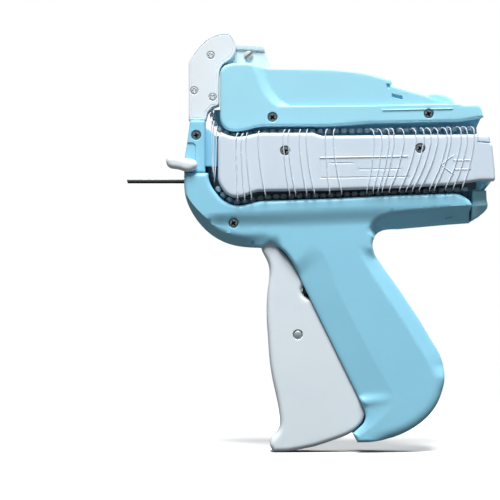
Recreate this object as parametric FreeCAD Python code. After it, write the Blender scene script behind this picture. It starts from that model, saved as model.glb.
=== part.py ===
import FreeCAD, Part
import math
import os

os.makedirs("parts", exist_ok=True)
Vector = FreeCAD.Vector

# Garment tag attacher, millimetres. +Z is up, the needle points along -X and the photographed side
# faces -Y. The origin is the needle's root, on the needle's axis, at the nose face.

# Overall sizes. Outlines are drawn as places in the 500 by 500 photograph frame, named _PX, and
# turned into millimetres by these two sizes and what they measure in that frame.
BODY_LENGTH = 134.6          # nose face to the rear of the magazine cover
TOOL_HEIGHT = 185.7          # top of the head to the tip of the trigger
ROOT_PX = (184, 179.5)
BODY_LENGTH_PX = 306
TOOL_HEIGHT_PX = 422

# Casing of body and grip
CASING_HALF = 13.0
CASING_WALL_SHARE = 0.17
CASING_WALL = CASING_HALF * CASING_WALL_SHARE
CASING_ROUND = 2.0
ROUND_STEPS = 3              # flats that make up a rounded rim
CHORD = 2.4                  # longest straight piece of a smooth outline
BELLY_DROP = 4.6             # depth of the belly's chamfer
TAIL_DROP = 8.0              # depth of the tail's lower facet
FACET_DROP = 1.6             # depth of the facet along the grip's front
NAPE_DROP = 2.6              # depth of the facet along the grip's back
SCREW_LEAN_SHARE = 0.7       # share of the lean at the casing's screw
TAIL_FRONT = 7.0             # how far the tail block reaches to the left of the middle plane
SEAM = 0.15                  # gap left between two pieces that meet in a joint line
FIT_GAP = 0.3                # gap between a piece and the pocket that it lies in
RUN_GAP = 0.05               # radial gap of a pin in its bore
OVERRUN = 1.0                # how far a cutting shape runs past what it cuts

# Upper housing
UPPER_HALF = 12.0
UPPER_WALL = 2.0
UPPER_ROUND = 1.2
RECESS_DEPTH = 2.0

# Magazine
PLATE_FRONT = 1.9            # front face of the backing plate, behind the clip
PLATE_SHARE = 0.085
PLATE_THICKNESS = CASING_HALF * PLATE_SHARE
COVER_FACE = 15.5            # how far the cover's face stands from the middle plane
COVER_RIM = 5.0              # where the cover's side walls end, from the middle plane
COVER_WALL = 1.6
COVER_ROUND = 1.3
CORE_FACE = 11.0
GROOVE_DEPTH = 1.2

# Nose
NOSE_FACE = 11.0
STRIP_FACE = 6.0
STRIP_BACK = 2.4
NOSE_ROUND = 1.0

# Head guide
HEAD_FACE = 7.0
HEAD_BACK = 8.0
HEAD_PLATE = 1.6
HEAD_ROUND = 0.5
ARM_HALF = 4.0
ARM_FLANGE_HALF = 5.6

# Needle
NEEDLE_RADIUS = 1.4
NEEDLE_BORE_RADIUS = 1.08
NEEDLE_LENGTH = 26.0
NEEDLE_SLOT = 1.0
NEEDLE_SLOT_TURN = 40.0      # degrees that the slot is turned from straight down to the left side
NEEDLE_TAIL = 7.0            # part of the needle that is held in the hub
NEEDLE_TAIL_RADIUS = 1.6     # the tail is thicker, so that the hub can grip it
HUB_RADIUS = 2.75
HUB_START = 1.2
HUB_LENGTH = 8.0
HUB_COLLAR_RADIUS = 3.6
HUB_COLLAR = 1.6
KNIFE_THICKNESS = 0.5
KNIFE_HALF = 3.0
KNIFE_HEIGHT = 5.0
KNIFE_START = 7.6
NEEDLE_SLANT = 0.6
NOSE_CORE_HALF = 5.5
LEDGE_DEPTH = 0.6

# Plunger
STROKE = 40.0
ROD_RADIUS = 0.9
ROD_REST_TIP = 14.5          # distance of the rod's tip behind the nose face, at rest
SLIDE_LENGTH = 15.0
SLIDE_HALF_HEIGHT = 2.8
SLIDE_FRONT = 3.2
SLIDE_BACK = 1.6
SLIDE_PIN_RADIUS = 1.25
SLIDE_PIN_SHARE = 0.6        # place of the pin along the slide
ROD_SOCKET = 5.0

# Drive lever, its link and the trigger
LEVER_PLATE_GAP = 0.4
LEVER_FRONT = PLATE_FRONT + PLATE_THICKNESS + LEVER_PLATE_GAP
LEVER_SHARE = 0.154
LEVER_THICKNESS = CASING_HALF * LEVER_SHARE
LEVER_WIDTH = 6.4
LEVER_FORK_GAP = 0.7         # play of the slide's pin in the fork
FORK_DEPTH = 3.0
LEVER_PIN_RADIUS = 1.5
PIVOT_BOSS_RADIUS = 2.6
PIVOT_BOSS_GAP = 1.0
LINK_THICKNESS = 1.5
LINK_FRONT = LEVER_FRONT - FIT_GAP - LINK_THICKNESS
LINK_WIDTH = 6.4
LINK_PLAY = 0.12             # play of the link's hole round the lever's lower pin
LINK_SLOT = 0.96             # how far that hole runs on across the link
LINK_PIN_RADIUS = 1.3
LEVER_SIDE_GAP = 0.8         # between the lever and the trigger's wall
TRIGGER_WALL_SHARE = 0.138
TRIGGER_WALL = CASING_HALF * TRIGGER_WALL_SHARE
TRIGGER_HALF = LEVER_FRONT + LEVER_THICKNESS + LEVER_SIDE_GAP + TRIGGER_WALL
TRIGGER_SIDE_GAP = 0.8       # between the trigger and the casing's walls
GRIP_HALF = TRIGGER_HALF + TRIGGER_SIDE_GAP + CASING_WALL
LEAN = CASING_HALF - GRIP_HALF   # how far the grip's face lies inside the body's
TRIGGER_ROUND = 1.6
TRIGGER_PIN_RADIUS = 1.5
GREY_PIN_RADIUS = 2.1
NOTCH_RADIUS = 3.2
TRIGGER_OPENING = 6.0
PIN_SINK = 0.2

# Feed wheel
WHEEL_RADIUS = 4.2
WHEEL_TOOTH = 1.2
WHEEL_TEETH = 12
TOOTH_SHARES = ((0, 0), (0.5, 1), (0.7, 1))   # shares of a tooth's pitch and of its height
WHEEL_HALF = 1.4
WHEEL_AXLE_RADIUS = 1.2
INDEX_SPRING_THICKNESS = 0.4

# Springs
RETURN_SPRING_RADIUS = 2.4
RETURN_SPRING_WIRE = 0.6
SPRING_GAP = 0.2             # between it and the trigger's wall
SPRING_OFFSET = TRIGGER_HALF - TRIGGER_WALL - SPRING_GAP - RETURN_SPRING_RADIUS

# Latch
LATCH_HALF = 8.0

# Screws
SCREW_RADIUS = 1.0
CASING_SCREW_LENGTH = 17.0
COVER_SCREW_LENGTH = 9.0
SINK_DEPTH = 1.0
SCREW_HEAD_RADIUS = 1.75
SCREW_HEAD_HEIGHT = 1.3
SCREW_WELL_RADIUS = 2.1
SCREW_WELL_DEPTH = 1.6
BOSS_RADIUS = 3.2
COVER_WELL_DEPTH = 1.0
CROSS_WIDTH = 0.5
CROSS_SPAN = 2.2
CROSS_DEPTH = 0.7
PLATE_SCREW_HEAD_RADIUS = 1.7
PLATE_SCREW_LENGTH = 5.0
ARM_SCREW_HEAD_RADIUS = 2.1
ARM_SLOT_TURN = 35.0         # degrees

# Needle lock
LOCK_INNER = 11.2
LOCK_THICKNESS = 4.6
LOCK_ROUND = 2.0
LOCK_PIN_RADIUS = 1.3
LOCK_PIN_DEPTH = 4.0

# Loaded clip
RAIL_HALF = 1.5
RAIL_HEIGHT = 2.4
RAIL_WEB = 0.8
RAIL_PITCH = 3.5
RAIL_BLOCK_SHARE = 0.72
FILAMENT_RADIUS = 0.22
FILAMENT_LIFT = 0.35         # gap between a filament and the cover's face
FILAMENT_BEND = 1.3
NOSE_THREAD_FACE = 12.4

# Outlines, as places in the photograph frame
BELLY_PX = (
    (262, 248), (250, 247.5), (237, 246), (225, 242.5), (213, 236), (203, 227.5),
    (195, 217.5), (189, 207), (185.5, 197), (184, 185),
)
# Lines of the casing's slopes: where each starts, where it ends, and what lies beyond them
LEAN_TOP_PX = ((160, 207), (206, 211), (245, 209), (300, 206), (360, 203.5), (510, 201))
LEAN_FOOT_PX = ((160, 223), (206, 227), (245, 229), (300, 229), (360, 227), (510, 222))
LEAN_BEYOND_PX = ((510, 480), (160, 480))
BELLY_EDGE_PX = (
    (186.5, 195), (192, 203), (200, 212), (210, 222.5), (220, 229.8), (232, 234.2), (245, 235.6),
    (262, 236.2), (280, 237), (292, 239),
)
BELLY_RIM_PX = (
    (184.6, 192), (187.5, 204), (193.5, 215.5), (202.5, 227), (214, 236.8), (229, 244), (244, 247),
    (262, 248), (280, 248.5), (288, 257),
)
BELLY_LEAN_SHARES = (0, 0, 0.15, 0.7, 1, 1, 1, 1, 1, 1)
BELLY_DROP_SHARES = (1, 1, 1, 1, 1, 1, 0.9, 0.42, 0.42, 0.42)
BELLY_BEYOND_PX = ((276, 310), (150, 310), (150, 186))
TAIL_CREASE_PX = ((362, 231), (370, 219), (384, 212.5), (400, 209.8), (420, 208.5), (450, 206.3),
                  (473, 205), (496, 203.5))
TAIL_RIM_PX = ((374, 242), (379, 233), (388, 229.5), (400, 229), (424, 226.8), (450, 224.5),
               (471, 223), (490, 207.5))
TAIL_BEYOND_PX = ((510, 208), (510, 262), (384, 262), (375.5, 248))
FACET_CREASE_PX = ((312, 243), (325, 257), (336, 285), (352, 318), (372, 356), (396, 398))
FACET_RIM_PX = ((292, 262), (299, 275), (305, 288), (322, 322), (341, 361), (361, 402))
FACET_BEYOND_PX = ((363, 420), (330, 430), (250, 300), (270, 262))
NAPE_CREASE_PX = ((356, 244), (362, 257), (372, 274), (388, 298), (404, 322), (418, 345),
                  (429, 364), (434, 380))
NAPE_RIM_PX = ((373.5, 247), (378, 258), (388, 273), (403, 294.5), (419, 318.5), (433, 342),
               (442, 360), (445, 380))
NAPE_BEYOND_PX = ((465, 380), (465, 330), (395, 250), (380, 244))
TRACK_FRONT_PX = (
    (208, 173), (209, 180), (212, 187), (217, 194), (223, 200), (231, 204), (240, 205.5),
    (250, 203.5), (260, 201),
)
TRACK_FLOOR_PX = ((260, 201), (330, 198.5), (400, 195), (450, 193.5))
TAIL_ROUND_PX = ((450, 193.5), (458, 194), (465, 197), (471, 202), (472.5, 205.5))
REAR_UNDERSIDE_PX = ((472.5, 205.5), (470, 212), (471, 223), (450, 224.5), (400, 229))
GRIP_BACK_PX = (
    (400, 229), (388, 229.5), (380, 232), (375, 237), (373, 243.5), (374, 251), (380, 262),
    (390, 276), (400, 290), (410, 305), (420, 320), (430, 337), (438, 350), (442.5, 360),
    (445, 372), (445, 381), (443, 391), (438.5, 403), (430, 415.5), (418, 426), (404, 434),
    (388, 439.5), (372, 442.5), (358, 443),
)
GRIP_TOE_PX = ((353, 434), (360, 428), (364.5, 423), (366, 417), (364, 409), (360, 400))
GRIP_THROAT_PX = ((303, 284), (297, 271), (290, 259), (281, 249), (270, 243))
NOSE_FRONT_PX = ((190, 120), (188, 135), (186, 148), (184.5, 158), (184, 166))
NOSE_BACK_PX = (205, 120)
NOSE_PARTING_PY = 172.6
CASING_PARTING_PY = 173
STRIP_PX = ((204, 127), (209, 129), (214, 134), (217.2, 139), (217.2, 166), (204, 166))
LEDGE_PX = ((180, 142), (194, 142), (197, 145), (197, 170), (180, 170))
SHELF_PX = ((190, 120), (205, 120), (205, 134.6))
REAR_WALL_PX = ((480, 134.6), (490, 142), (492, 146), (494, 165), (494.5, 181), (488, 189))
TAIL_BLOCK_PX = ((474, 190), (487, 212))
NOSE_CORE_PX = ((184.2, 173), (206, 173), (206, 192), (187, 192), (184.2, 186))
PLATE_PX = ((207.5, 136), (479, 136), (479, 188), (440, 190), (400, 193), (330, 196.5),
            (260, 199), (245, 202), (231, 201), (222, 196), (214, 187), (209.5, 176), (207.5, 171.5))
LATCH_FLOOR_PX = ((417, 93), (428, 96), (455, 102), (466, 105), (470, 106), (470, 112),
                  (417, 112))
TAIL_PX = ((488, 200), (489, 204), (489, 208), (486, 212), (480, 217), (475, 220), (471, 223))
UPPER_CORNER_PX = ((220, 76), (221, 70), (226, 65), (233, 63))
UPPER_TOP_PX = ((233, 63), (250, 63), (265, 66.5), (330, 68))
UPPER_SHOULDER_PX = ((330, 68), (350, 69.8), (365, 72), (380, 76), (391, 79))
UPPER_SLOPE_PX = ((391, 79), (392, 84.5), (400, 87), (428, 95), (455, 101), (463, 104), (477, 104))
UPPER_REAR_PX = ((477, 104), (480.5, 106), (482, 110))
UPPER_SIDE_PX = ((482, 110), (484, 117), (460, 121), (370, 123), (330, 126), (262, 126))
UPPER_FOOT_PX = (
    (262, 126), (255, 127.5), (245, 130), (237, 131), (230, 130.3), (224, 127), (220.6, 121),
    (220, 113),
)
SKIRT_PX = ((224, 124), (484, 116), (479.5, 126), (480, 133.8), (236, 133.8))
RECESS_CURVE_PX = ((263, 70), (268, 82), (273, 92), (280, 101), (290, 105.5))
RECESS_REST_PX = ((290, 105.5), (456, 104), (456, 60), (262, 60), (263, 70))
COVER_TOP_PX = (
    (218, 140), (219.5, 135.5), (222.5, 133.6), (228, 135.5), (235, 136.8), (245, 136.3),
    (255, 134), (262, 133),
)
COVER_BACK_PX = (
    (262, 133), (313, 133), (322, 136), (477, 134.5), (489, 135.5), (490, 142), (492, 146),
    (494, 165), (495, 178), (494, 181), (480, 181), (463, 183.5), (450, 185), (400, 188),
    (330, 190.5), (258, 191.5),
)
COVER_FOOT_PX = ((258, 191.5), (250, 194), (243, 196.5), (235, 197.3), (228, 195), (222, 188.5),
                 (218.8, 182), (218, 178))
COVER_GROOVE_PX = ((477, 136.5), (477, 141.5), (497, 142.5), (497, 136.5))
HEAD_EDGE_PX = ((188.5, 119.5), (188.5, 62))
HEAD_CROWN_PX = (
    (188.5, 62), (190.5, 56), (195, 49), (201, 42), (208, 36.5), (216, 32.8), (224, 31.3),
    (230, 32.6), (234, 37.5), (236, 44), (235.3, 51), (232, 56.8), (227, 60.5), (222.5, 64),
    (219.8, 69), (218.8, 75),
)
HEAD_BASE_PX = ((218.8, 75), (218.8, 104), (212, 107), (207.5, 112), (205.5, 119.5),
                (188.5, 119.5))
ARM_PX = ((225, 46), (236, 46), (264.5, 47.5), (266, 52), (270, 64), (270, 88), (240, 88),
          (225, 62))
ARM_FLANGE_PX = ((225, 41.5), (236, 41.8), (263.5, 43.7), (265, 50), (236, 48.2), (225, 48))
LOCK_PX = (
    (164.5, 160), (169, 156.8), (176, 155), (184, 157), (191, 158.5), (196, 161.5), (198, 167),
    (195, 171), (189, 172.2), (183, 171), (176, 168.6), (169.5, 167.8), (165.5, 164.5),
)
LATCH_PX = ((429, 97), (430, 94), (433, 92.2), (438, 92.2), (446, 94.2), (452, 97.5),
            (455, 101.5), (455, 107), (429, 107))
LATCH_POCKET_PX = ((421, 88), (466, 96), (466, 107.8), (421, 107.8))
TRIGGER_FRONT_PX = (
    (262, 236), (261, 243), (262, 250), (266, 258), (269.5, 268), (269.5, 278), (268, 290),
    (267, 305), (267, 320), (268, 335), (269, 350), (271, 370), (274, 386), (277.5, 402),
    (280, 418), (280.3, 427), (277, 434.5), (272, 440), (270.3, 446), (274, 453),
)
TRIGGER_SOLE_PX = ((274, 453), (287, 452.8), (300, 450.6), (315, 447.4), (330, 442.6),
                   (342, 438.4), (352, 433.6), (361, 426), (367.5, 414))
TRIGGER_BACK_PX = ((367.5, 414), (364, 401), (311, 292.5))
TRIGGER_NECK_PX = ((311, 292.5), (303, 278), (296, 266), (288, 256), (281, 248), (279.3, 243))
TRIGGER_EAR_PX = ((279.3, 243), (279.2, 236), (275.5, 231.5), (269, 230.5), (264, 232.5),
                  (262, 236))
TRIGGER_WAY_PX = ((253, 240), (262, 225), (290, 225), (312, 262), (322, 290), (378, 412),
                  (372, 432), (352, 452), (330, 440), (250, 300))
TRIGGER_SWING_PX = ((310, 275), (345, 275), (385, 360), (385, 412), (366, 412), (310, 300))
UPPER_RAIL_PX = (
    (475, 127.3), (400, 129), (330, 130), (285, 130.2), (262, 131.2), (248, 133.6), (237, 134.3),
    (226, 132), (218, 127), (213.5, 119), (211, 108), (209.5, 95), (209, 70),
)
LOWER_RAIL_PX = (
    (470, 188.7), (450, 189.6), (400, 191.6), (330, 194.5), (285, 195.9), (262, 197.4), (250, 200),
    (240, 201.6), (231, 200), (222, 193.5), (217, 187.2), (215, 183.8),
)
SPRING_RIB_PX = ((349, 289), (396, 289), (406, 304.5), (349, 305))
SPRING_START_PX = 272.5

# Single places in the photograph frame
TRIGGER_PIVOT_PX = (272, 238)
GREY_PIN_PX = (298, 335)
LEVER_PIVOT_PX = (324, 276.3)
LEVER_FOOT_PX = (331.1, 311)
LOCK_PIVOT_PX = (191, 165.3)
WHEEL_PX = (211, 206)
INDEX_SPRING_PX = ((219, 233), (223, 231), (220.2, 215.4))
CASING_SCREW_PX = (233.5, 223)
NOTCH_PX = (309.3, 291)
NOSE_SCREW_PX = (196, 135)
UPPER_SCREWS_PX = ((272.5, 117), (429, 113.5))
COVER_SCREWS_PX = ((285, 151), (420, 148.5))
HEAD_SCREWS_PX = ((210.5, 54.5), (194, 90), (212.5, 96.5))
ARM_SCREW_PX = (248.5, 54)
THREADS_PX = (
    (236, 238), (241, 245), (246, 252), (258, 266), (283, 290), (288, 296), (299, 307),
    (306, 315), (325, 330), (333, 342), (374, 366), (382, 372), (389, 377), (394, 381),
    (404, 388), (416, 398), (424, 405), (431, 411), (438, 418), (447, 428), (451, 433),
    (461, 444), (467, 452), (474, 461),
)
NOSE_THREADS_PX = (((211.5, 117), (212.6, 171)), ((213.5, 121), (213.5, 176)),
                     ((216.5, 126), (214.5, 181)))


def x_at(px):
    """X of a column of the photograph frame."""
    return (px - ROOT_PX[0]) * BODY_LENGTH / BODY_LENGTH_PX


def z_at(py):
    """Z of a row of the photograph frame."""
    return (ROOT_PX[1] - py) * TOOL_HEIGHT / TOOL_HEIGHT_PX


def spot(place, y=0):
    """Point of the model at a place of the photograph frame."""
    return Vector(x_at(place[0]), y, z_at(place[1]))


def straight(places):
    """Corner points of a run of straight sides."""
    return [spot(place) for place in places]


def smooth(places):
    """Points along a smooth curve through the places."""
    curve = Part.BSplineCurve()
    curve.interpolate([spot(place) for place in places])
    count = math.ceil(curve.length() / CHORD) + 1
    return curve.discretize(Number=count)


def outline(*runs):
    """Closed outline from runs that start where the last one ended."""
    points = []
    for point in [point for run in runs for point in run]:
        if not points or point.distanceToPoint(points[-1]) > RUN_GAP:
            points.append(point)
    if points[0].distanceToPoint(points[-1]) <= RUN_GAP:
        points.pop()
    return points


def wire_at(points, y):
    """Closed wire of an outline at one Y."""
    moved = [Vector(point.x, y, point.z) for point in points]
    return Part.makePolygon(moved + moved[:1])


def prism(points, low, high):
    """Solid of an outline between two values of Y."""
    return Part.Face(wire_at(points, low)).extrude(Vector(0, high - low, 0))


def turn_of(points):
    """1 where the outline runs anticlockwise seen from -Y, otherwise -1."""
    pairs = zip(points, points[1:] + points[:1])
    return 1 if sum(a.x * b.z - b.x * a.z for a, b in pairs) > 0 else -1


def mitred(points, distance):
    """The outline moved inwards by a distance, corner by corner."""
    turn = turn_of(points)
    moved = []
    for before, here, after in zip(points[-1:] + points[:-1], points, points[1:] + points[:1]):
        normals = []
        for start, end in ((before, here), (here, after)):
            side = end - start
            normals.append(Vector(-side.z, 0, side.x).normalize() * turn)
        middle = normals[0] + normals[1]
        moved.append(here + middle * (2 * distance / middle.dot(middle)))
    return moved


def shrunk(points, distance):
    """Face of the outline moved inwards, or outwards by a negative distance."""
    return Part.Face(wire_at(points, 0)).makeOffset2D(-distance, 1).Faces[0]


def hollow(points, wall, low, high):
    """Solid of the space inside a wall, between two values of Y."""
    face = shrunk(points, wall)
    face.translate(Vector(0, low, 0))
    return face.extrude(Vector(0, high - low, 0))


def cushion(points, face, back, radius):
    """Solid of an outline whose rim at the Y named face is rounded."""
    side = 1 if back > face else -1
    wires = [wire_at(points, back)]
    for step in range(ROUND_STEPS + 1):
        angle = math.pi / 2 * step / ROUND_STEPS
        inset = radius * (1 - math.cos(angle))
        wires.append(wire_at(mitred(points, inset), face + side * radius * (1 - math.sin(angle))))
    return Part.makeLoft(wires, True, True)


def slope(near, far, beyond, face, drop):
    """Cutter above a slope that runs from one line at a face to another line deeper in."""
    upper = near + beyond
    lower = far + beyond
    faces = [Part.Face(wire_at(upper, face)), Part.Face(wire_at(lower, face + drop))]
    count = len(upper)
    for index in range(count):
        after = (index + 1) % count
        a = Vector(upper[index].x, face, upper[index].z)
        b = Vector(upper[after].x, face, upper[after].z)
        c = Vector(lower[after].x, face + drop, lower[after].z)
        d = Vector(lower[index].x, face + drop, lower[index].z)
        faces.append(Part.Face(Part.makePolygon([a, b, c, a])))
        faces.append(Part.Face(Part.makePolygon([a, c, d, a])))
    wedge = Part.makeSolid(Part.makeShell(faces))
    if wedge.Volume < 0:
        wedge.reverse()
    return wedge.fuse(prism(upper, -CASING_HALF - OVERRUN, face))


def drum(place, radius, low, high):
    """Cylinder along Y at a place, between two values of Y."""
    return Part.makeCylinder(radius, high - low, spot(place, low), Vector(0, 1, 0))


def block(corner_a, corner_b, low, high):
    """Box between two places and two values of Y."""
    return prism(straight((corner_a, (corner_b[0], corner_a[1]), corner_b,
                           (corner_a[0], corner_b[1]))), low, high)


def union(first, *others):
    """All shapes as one solid."""
    return first.fuse(list(others)).removeSplitter()


def less(shape, *cutters):
    """A shape with others cut away."""
    return shape.cut(list(cutters))


def export(node, *shapes):
    """Writes the shapes as one sub-part file."""
    solids = [solid for shape in shapes for solid in shape.Solids]
    body = solids[0] if len(solids) == 1 else Part.makeCompound(solids)
    body.exportStep("parts/" + node + ".step")


def bar(start, end, width, low, high):
    """Plate with round ends between two places of the model, along Y from low to high."""
    along = end - start
    side = Vector(-along.z, 0, along.x).normalize() * (width / 2)
    tip = Vector(along).normalize() * (width / 2)
    edges = [Part.makeLine(start + side, end + side),
             Part.Arc(end + side, end + tip, end - side).toShape(),
             Part.makeLine(end - side, start - side),
             Part.Arc(start - side, start - tip, start + side).toShape()]
    face = Part.Face(Part.Wire(edges))
    face.translate(Vector(0, low, 0))
    return face.extrude(Vector(0, high - low, 0))


def cross(place, face):
    """Cross recess of a screw whose head's face is at a Y."""
    return [Part.makeBox(width, OVERRUN + CROSS_DEPTH, height,
                         spot(place, face - OVERRUN) - Vector(width / 2, 0, height / 2))
            for width, height in ((CROSS_WIDTH, CROSS_SPAN), (CROSS_SPAN, CROSS_WIDTH))]


def screw(place, face, head_radius, length):
    """Cross-head screw along Y, its head's face at one Y and its shank inwards."""
    head = drum(place, head_radius, face, face + SCREW_HEAD_HEIGHT)
    shank = drum(place, SCREW_RADIUS, face + SCREW_HEAD_HEIGHT / 2, face + length)
    return less(head.fuse(shank), *cross(place, face))


def screw_well(place, face, depth, length):
    """Space for a sunk screw: the well in front of its head, its seat and its shank."""
    well = drum(place, SCREW_WELL_RADIUS, face - OVERRUN, face + depth + SCREW_HEAD_HEIGHT)
    shank = drum(place, SCREW_RADIUS + RUN_GAP, face, face + depth + length + OVERRUN)
    return well.fuse(shank)


def tube(outer, wall, start, direction, length):
    """Straight tube."""
    body = Part.makeCylinder(outer, length, start, direction)
    return body.cut(Part.makeCylinder(outer - wall, length, start, direction))


def sunk_screw(place, face, head_radius, length):
    """Countersunk cross-head screw along Y, flush with a face."""
    cone = Part.makeCone(head_radius, SCREW_RADIUS, SINK_DEPTH, spot(place, face), Vector(0, 1, 0))
    body = cone.fuse(drum(place, SCREW_RADIUS, face + SINK_DEPTH / 2, face + length))
    return less(body, *cross(place, face))


def sunk_hole(place, face, head_radius, length):
    """Hole that a countersunk screw fits in."""
    cone = Part.makeCone(head_radius, SCREW_RADIUS, SINK_DEPTH, spot(place, face), Vector(0, 1, 0))
    return cone.fuse(drum(place, SCREW_RADIUS + RUN_GAP, face, face + length + OVERRUN))


# Outlines that more than one piece is made from
def grip_run():
    """The grip, from the body's rear underside round to the belly."""
    return (smooth(GRIP_BACK_PX) + smooth(GRIP_TOE_PX) + smooth(GRIP_THROAT_PX)
            + smooth(BELLY_PX))


def casing_outline():
    """Lower body and grip, up to the floor of the lower track."""
    front = (BELLY_PX[-1][0], CASING_PARTING_PY)
    return outline(straight((front,)), smooth(TRACK_FRONT_PX), straight(TRACK_FLOOR_PX),
                   smooth(TAIL_ROUND_PX), straight(REAR_UNDERSIDE_PX), grip_run())


def right_outline():
    """The whole right side, up to the joint under the upper housing."""
    return outline(smooth(NOSE_FRONT_PX[::-1]), straight(SHELF_PX + REAR_WALL_PX + TAIL_PX),
                   grip_run())


def upper_outline():
    """Upper housing above the upper track."""
    return outline(smooth(UPPER_CORNER_PX), straight(UPPER_TOP_PX), smooth(UPPER_SHOULDER_PX),
                   straight(UPPER_SLOPE_PX), smooth(UPPER_REAR_PX), straight(UPPER_SIDE_PX),
                   smooth(UPPER_FOOT_PX))


def cover_outline():
    """White cover between the two tracks."""
    return outline(smooth(COVER_TOP_PX), straight(COVER_BACK_PX), smooth(COVER_FOOT_PX))


def head_outline():
    """White guide at the front, above the nose."""
    return outline(straight(HEAD_EDGE_PX), smooth(HEAD_CROWN_PX), straight(HEAD_BASE_PX))


def trigger_outline():
    """Trigger, with the ear that its pivot goes through."""
    return outline(smooth(TRIGGER_FRONT_PX), smooth(TRIGGER_SOLE_PX), straight(TRIGGER_BACK_PX),
                   smooth(TRIGGER_NECK_PX), smooth(TRIGGER_EAR_PX))


def ribbon(places, width):
    """Outline of a band of one width along a smooth centreline."""
    line = smooth(places)
    sides = []
    for before, after in zip(line[:1] + line[:-1], line[1:] + line[-1:]):
        along = (after - before).normalize()
        sides.append(Vector(-along.z, 0, along.x) * (width / 2))
    upper = [point + side for point, side in zip(line, sides)]
    lower = [point - side for point, side in zip(line, sides)]
    return upper + lower[::-1]


def hub_space(gap):
    """Needle hub with its collar, grown by a gap."""
    start = Vector(HUB_START - gap, 0, 0)
    body = Part.makeCylinder(HUB_RADIUS + gap, HUB_LENGTH + 2 * gap, start, Vector(1, 0, 0))
    collar = Part.makeCylinder(HUB_COLLAR_RADIUS + gap, HUB_COLLAR + 2 * gap, start, Vector(1, 0, 0))
    return body.fuse(collar)


def nose_space():
    """What the nose leaves free: the hub, the needle's way out and the plunger rod's way in."""
    exit_way = Part.makeCylinder(NEEDLE_TAIL_RADIUS + SEAM, HUB_START + 2 * OVERRUN,
                                 Vector(-OVERRUN, 0, 0), Vector(1, 0, 0))
    rod_way = Part.makeCylinder(ROD_RADIUS + FIT_GAP, ROD_REST_TIP, Vector(HUB_START, 0, 0),
                                Vector(1, 0, 0))
    return hub_space(SEAM).fuse([exit_way, rod_way])


def shell_screw_parts(place, half):
    """Boss, well and shank space of a screw that joins the two halves of a housing."""
    return (drum(place, BOSS_RADIUS, -half + SCREW_WELL_DEPTH, 0),
            screw_well(place, -half, SCREW_WELL_DEPTH, CASING_SCREW_LENGTH),
            drum(place, BOSS_RADIUS, 0, half - SCREW_WELL_DEPTH))


# Casing
def trigger_way():
    """Space that the trigger swings through in the casing."""
    return prism(outline(straight(TRIGGER_WAY_PX)), -TRIGGER_HALF - FIT_GAP, TRIGGER_HALF + FIT_GAP)


def trigger_swing():
    """Space inside the grip that the squeezed trigger takes up."""
    return prism(outline(straight(TRIGGER_SWING_PX)), -TRIGGER_HALF - FIT_GAP,
                 TRIGGER_HALF + FIT_GAP)


def nose_block_core(low, high):
    """Solid stretch of the casing that holds the needle's hub."""
    return prism(outline(straight(NOSE_CORE_PX)), low, high)


def wheel_way():
    """Space round the feed wheel."""
    return drum(WHEEL_PX, WHEEL_RADIUS + WHEEL_TOOTH + FIT_GAP, -WHEEL_HALF - FIT_GAP,
                WHEEL_HALF + FIT_GAP)


def shell_ways():
    """Spaces that both shells leave free, apart from the pins' bores."""
    return trigger_way(), wheel_way(), nose_space(), index_spring(SEAM)


def belly_slope():
    """Cutter above the belly's chamfer, which follows the lean of the face."""
    near = []
    far = []
    total = LEAN + BELLY_DROP
    edges = straight(BELLY_EDGE_PX)
    rims = straight(BELLY_RIM_PX)
    for edge, rim, lean, part in zip(edges, rims, BELLY_LEAN_SHARES, BELLY_DROP_SHARES):
        way = (rim - edge) * (1 / (BELLY_DROP * part))
        near.append(edge - way * (LEAN * lean))
        far.append(edge + way * (total - LEAN * lean))
    return slope(near, far, straight(BELLY_BEYOND_PX), -CASING_HALF, total)


def casing_form(side, high, low, sink):
    """Form of a casing half from its two levels, cut by its slopes, which are sunk by a distance."""
    foot = straight(LEAN_FOOT_PX)
    beyond = straight(LEAN_BEYOND_PX)
    cutters = [
        slope(straight(LEAN_TOP_PX), foot, beyond, -CASING_HALF, LEAN),
        prism(foot + beyond, -GRIP_HALF - SEAM, TOOL_HEIGHT),
        belly_slope(),
        slope(straight(TAIL_CREASE_PX), straight(TAIL_RIM_PX), straight(TAIL_BEYOND_PX),
              -CASING_HALF, TAIL_DROP),
        slope(straight(FACET_CREASE_PX), straight(FACET_RIM_PX), straight(FACET_BEYOND_PX),
              -GRIP_HALF, FACET_DROP),
        slope(straight(NAPE_CREASE_PX), straight(NAPE_RIM_PX), straight(NAPE_BEYOND_PX),
              -GRIP_HALF, NAPE_DROP),
    ]
    turned = []
    for cutter in cutters:
        cutter.translate(Vector(0, sink, 0))
        turned.append(cutter if side < 0 else cutter.mirror(Vector(0, 0, 0), Vector(0, 1, 0)))
    lean, below = turned[:2]
    return less(low.fuse(less(high, lean, below)), *turned[2:])


def screw_half():
    """Distance of the casing's face from the middle plane at its screw."""
    return CASING_HALF - LEAN * SCREW_LEAN_SHARE


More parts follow.
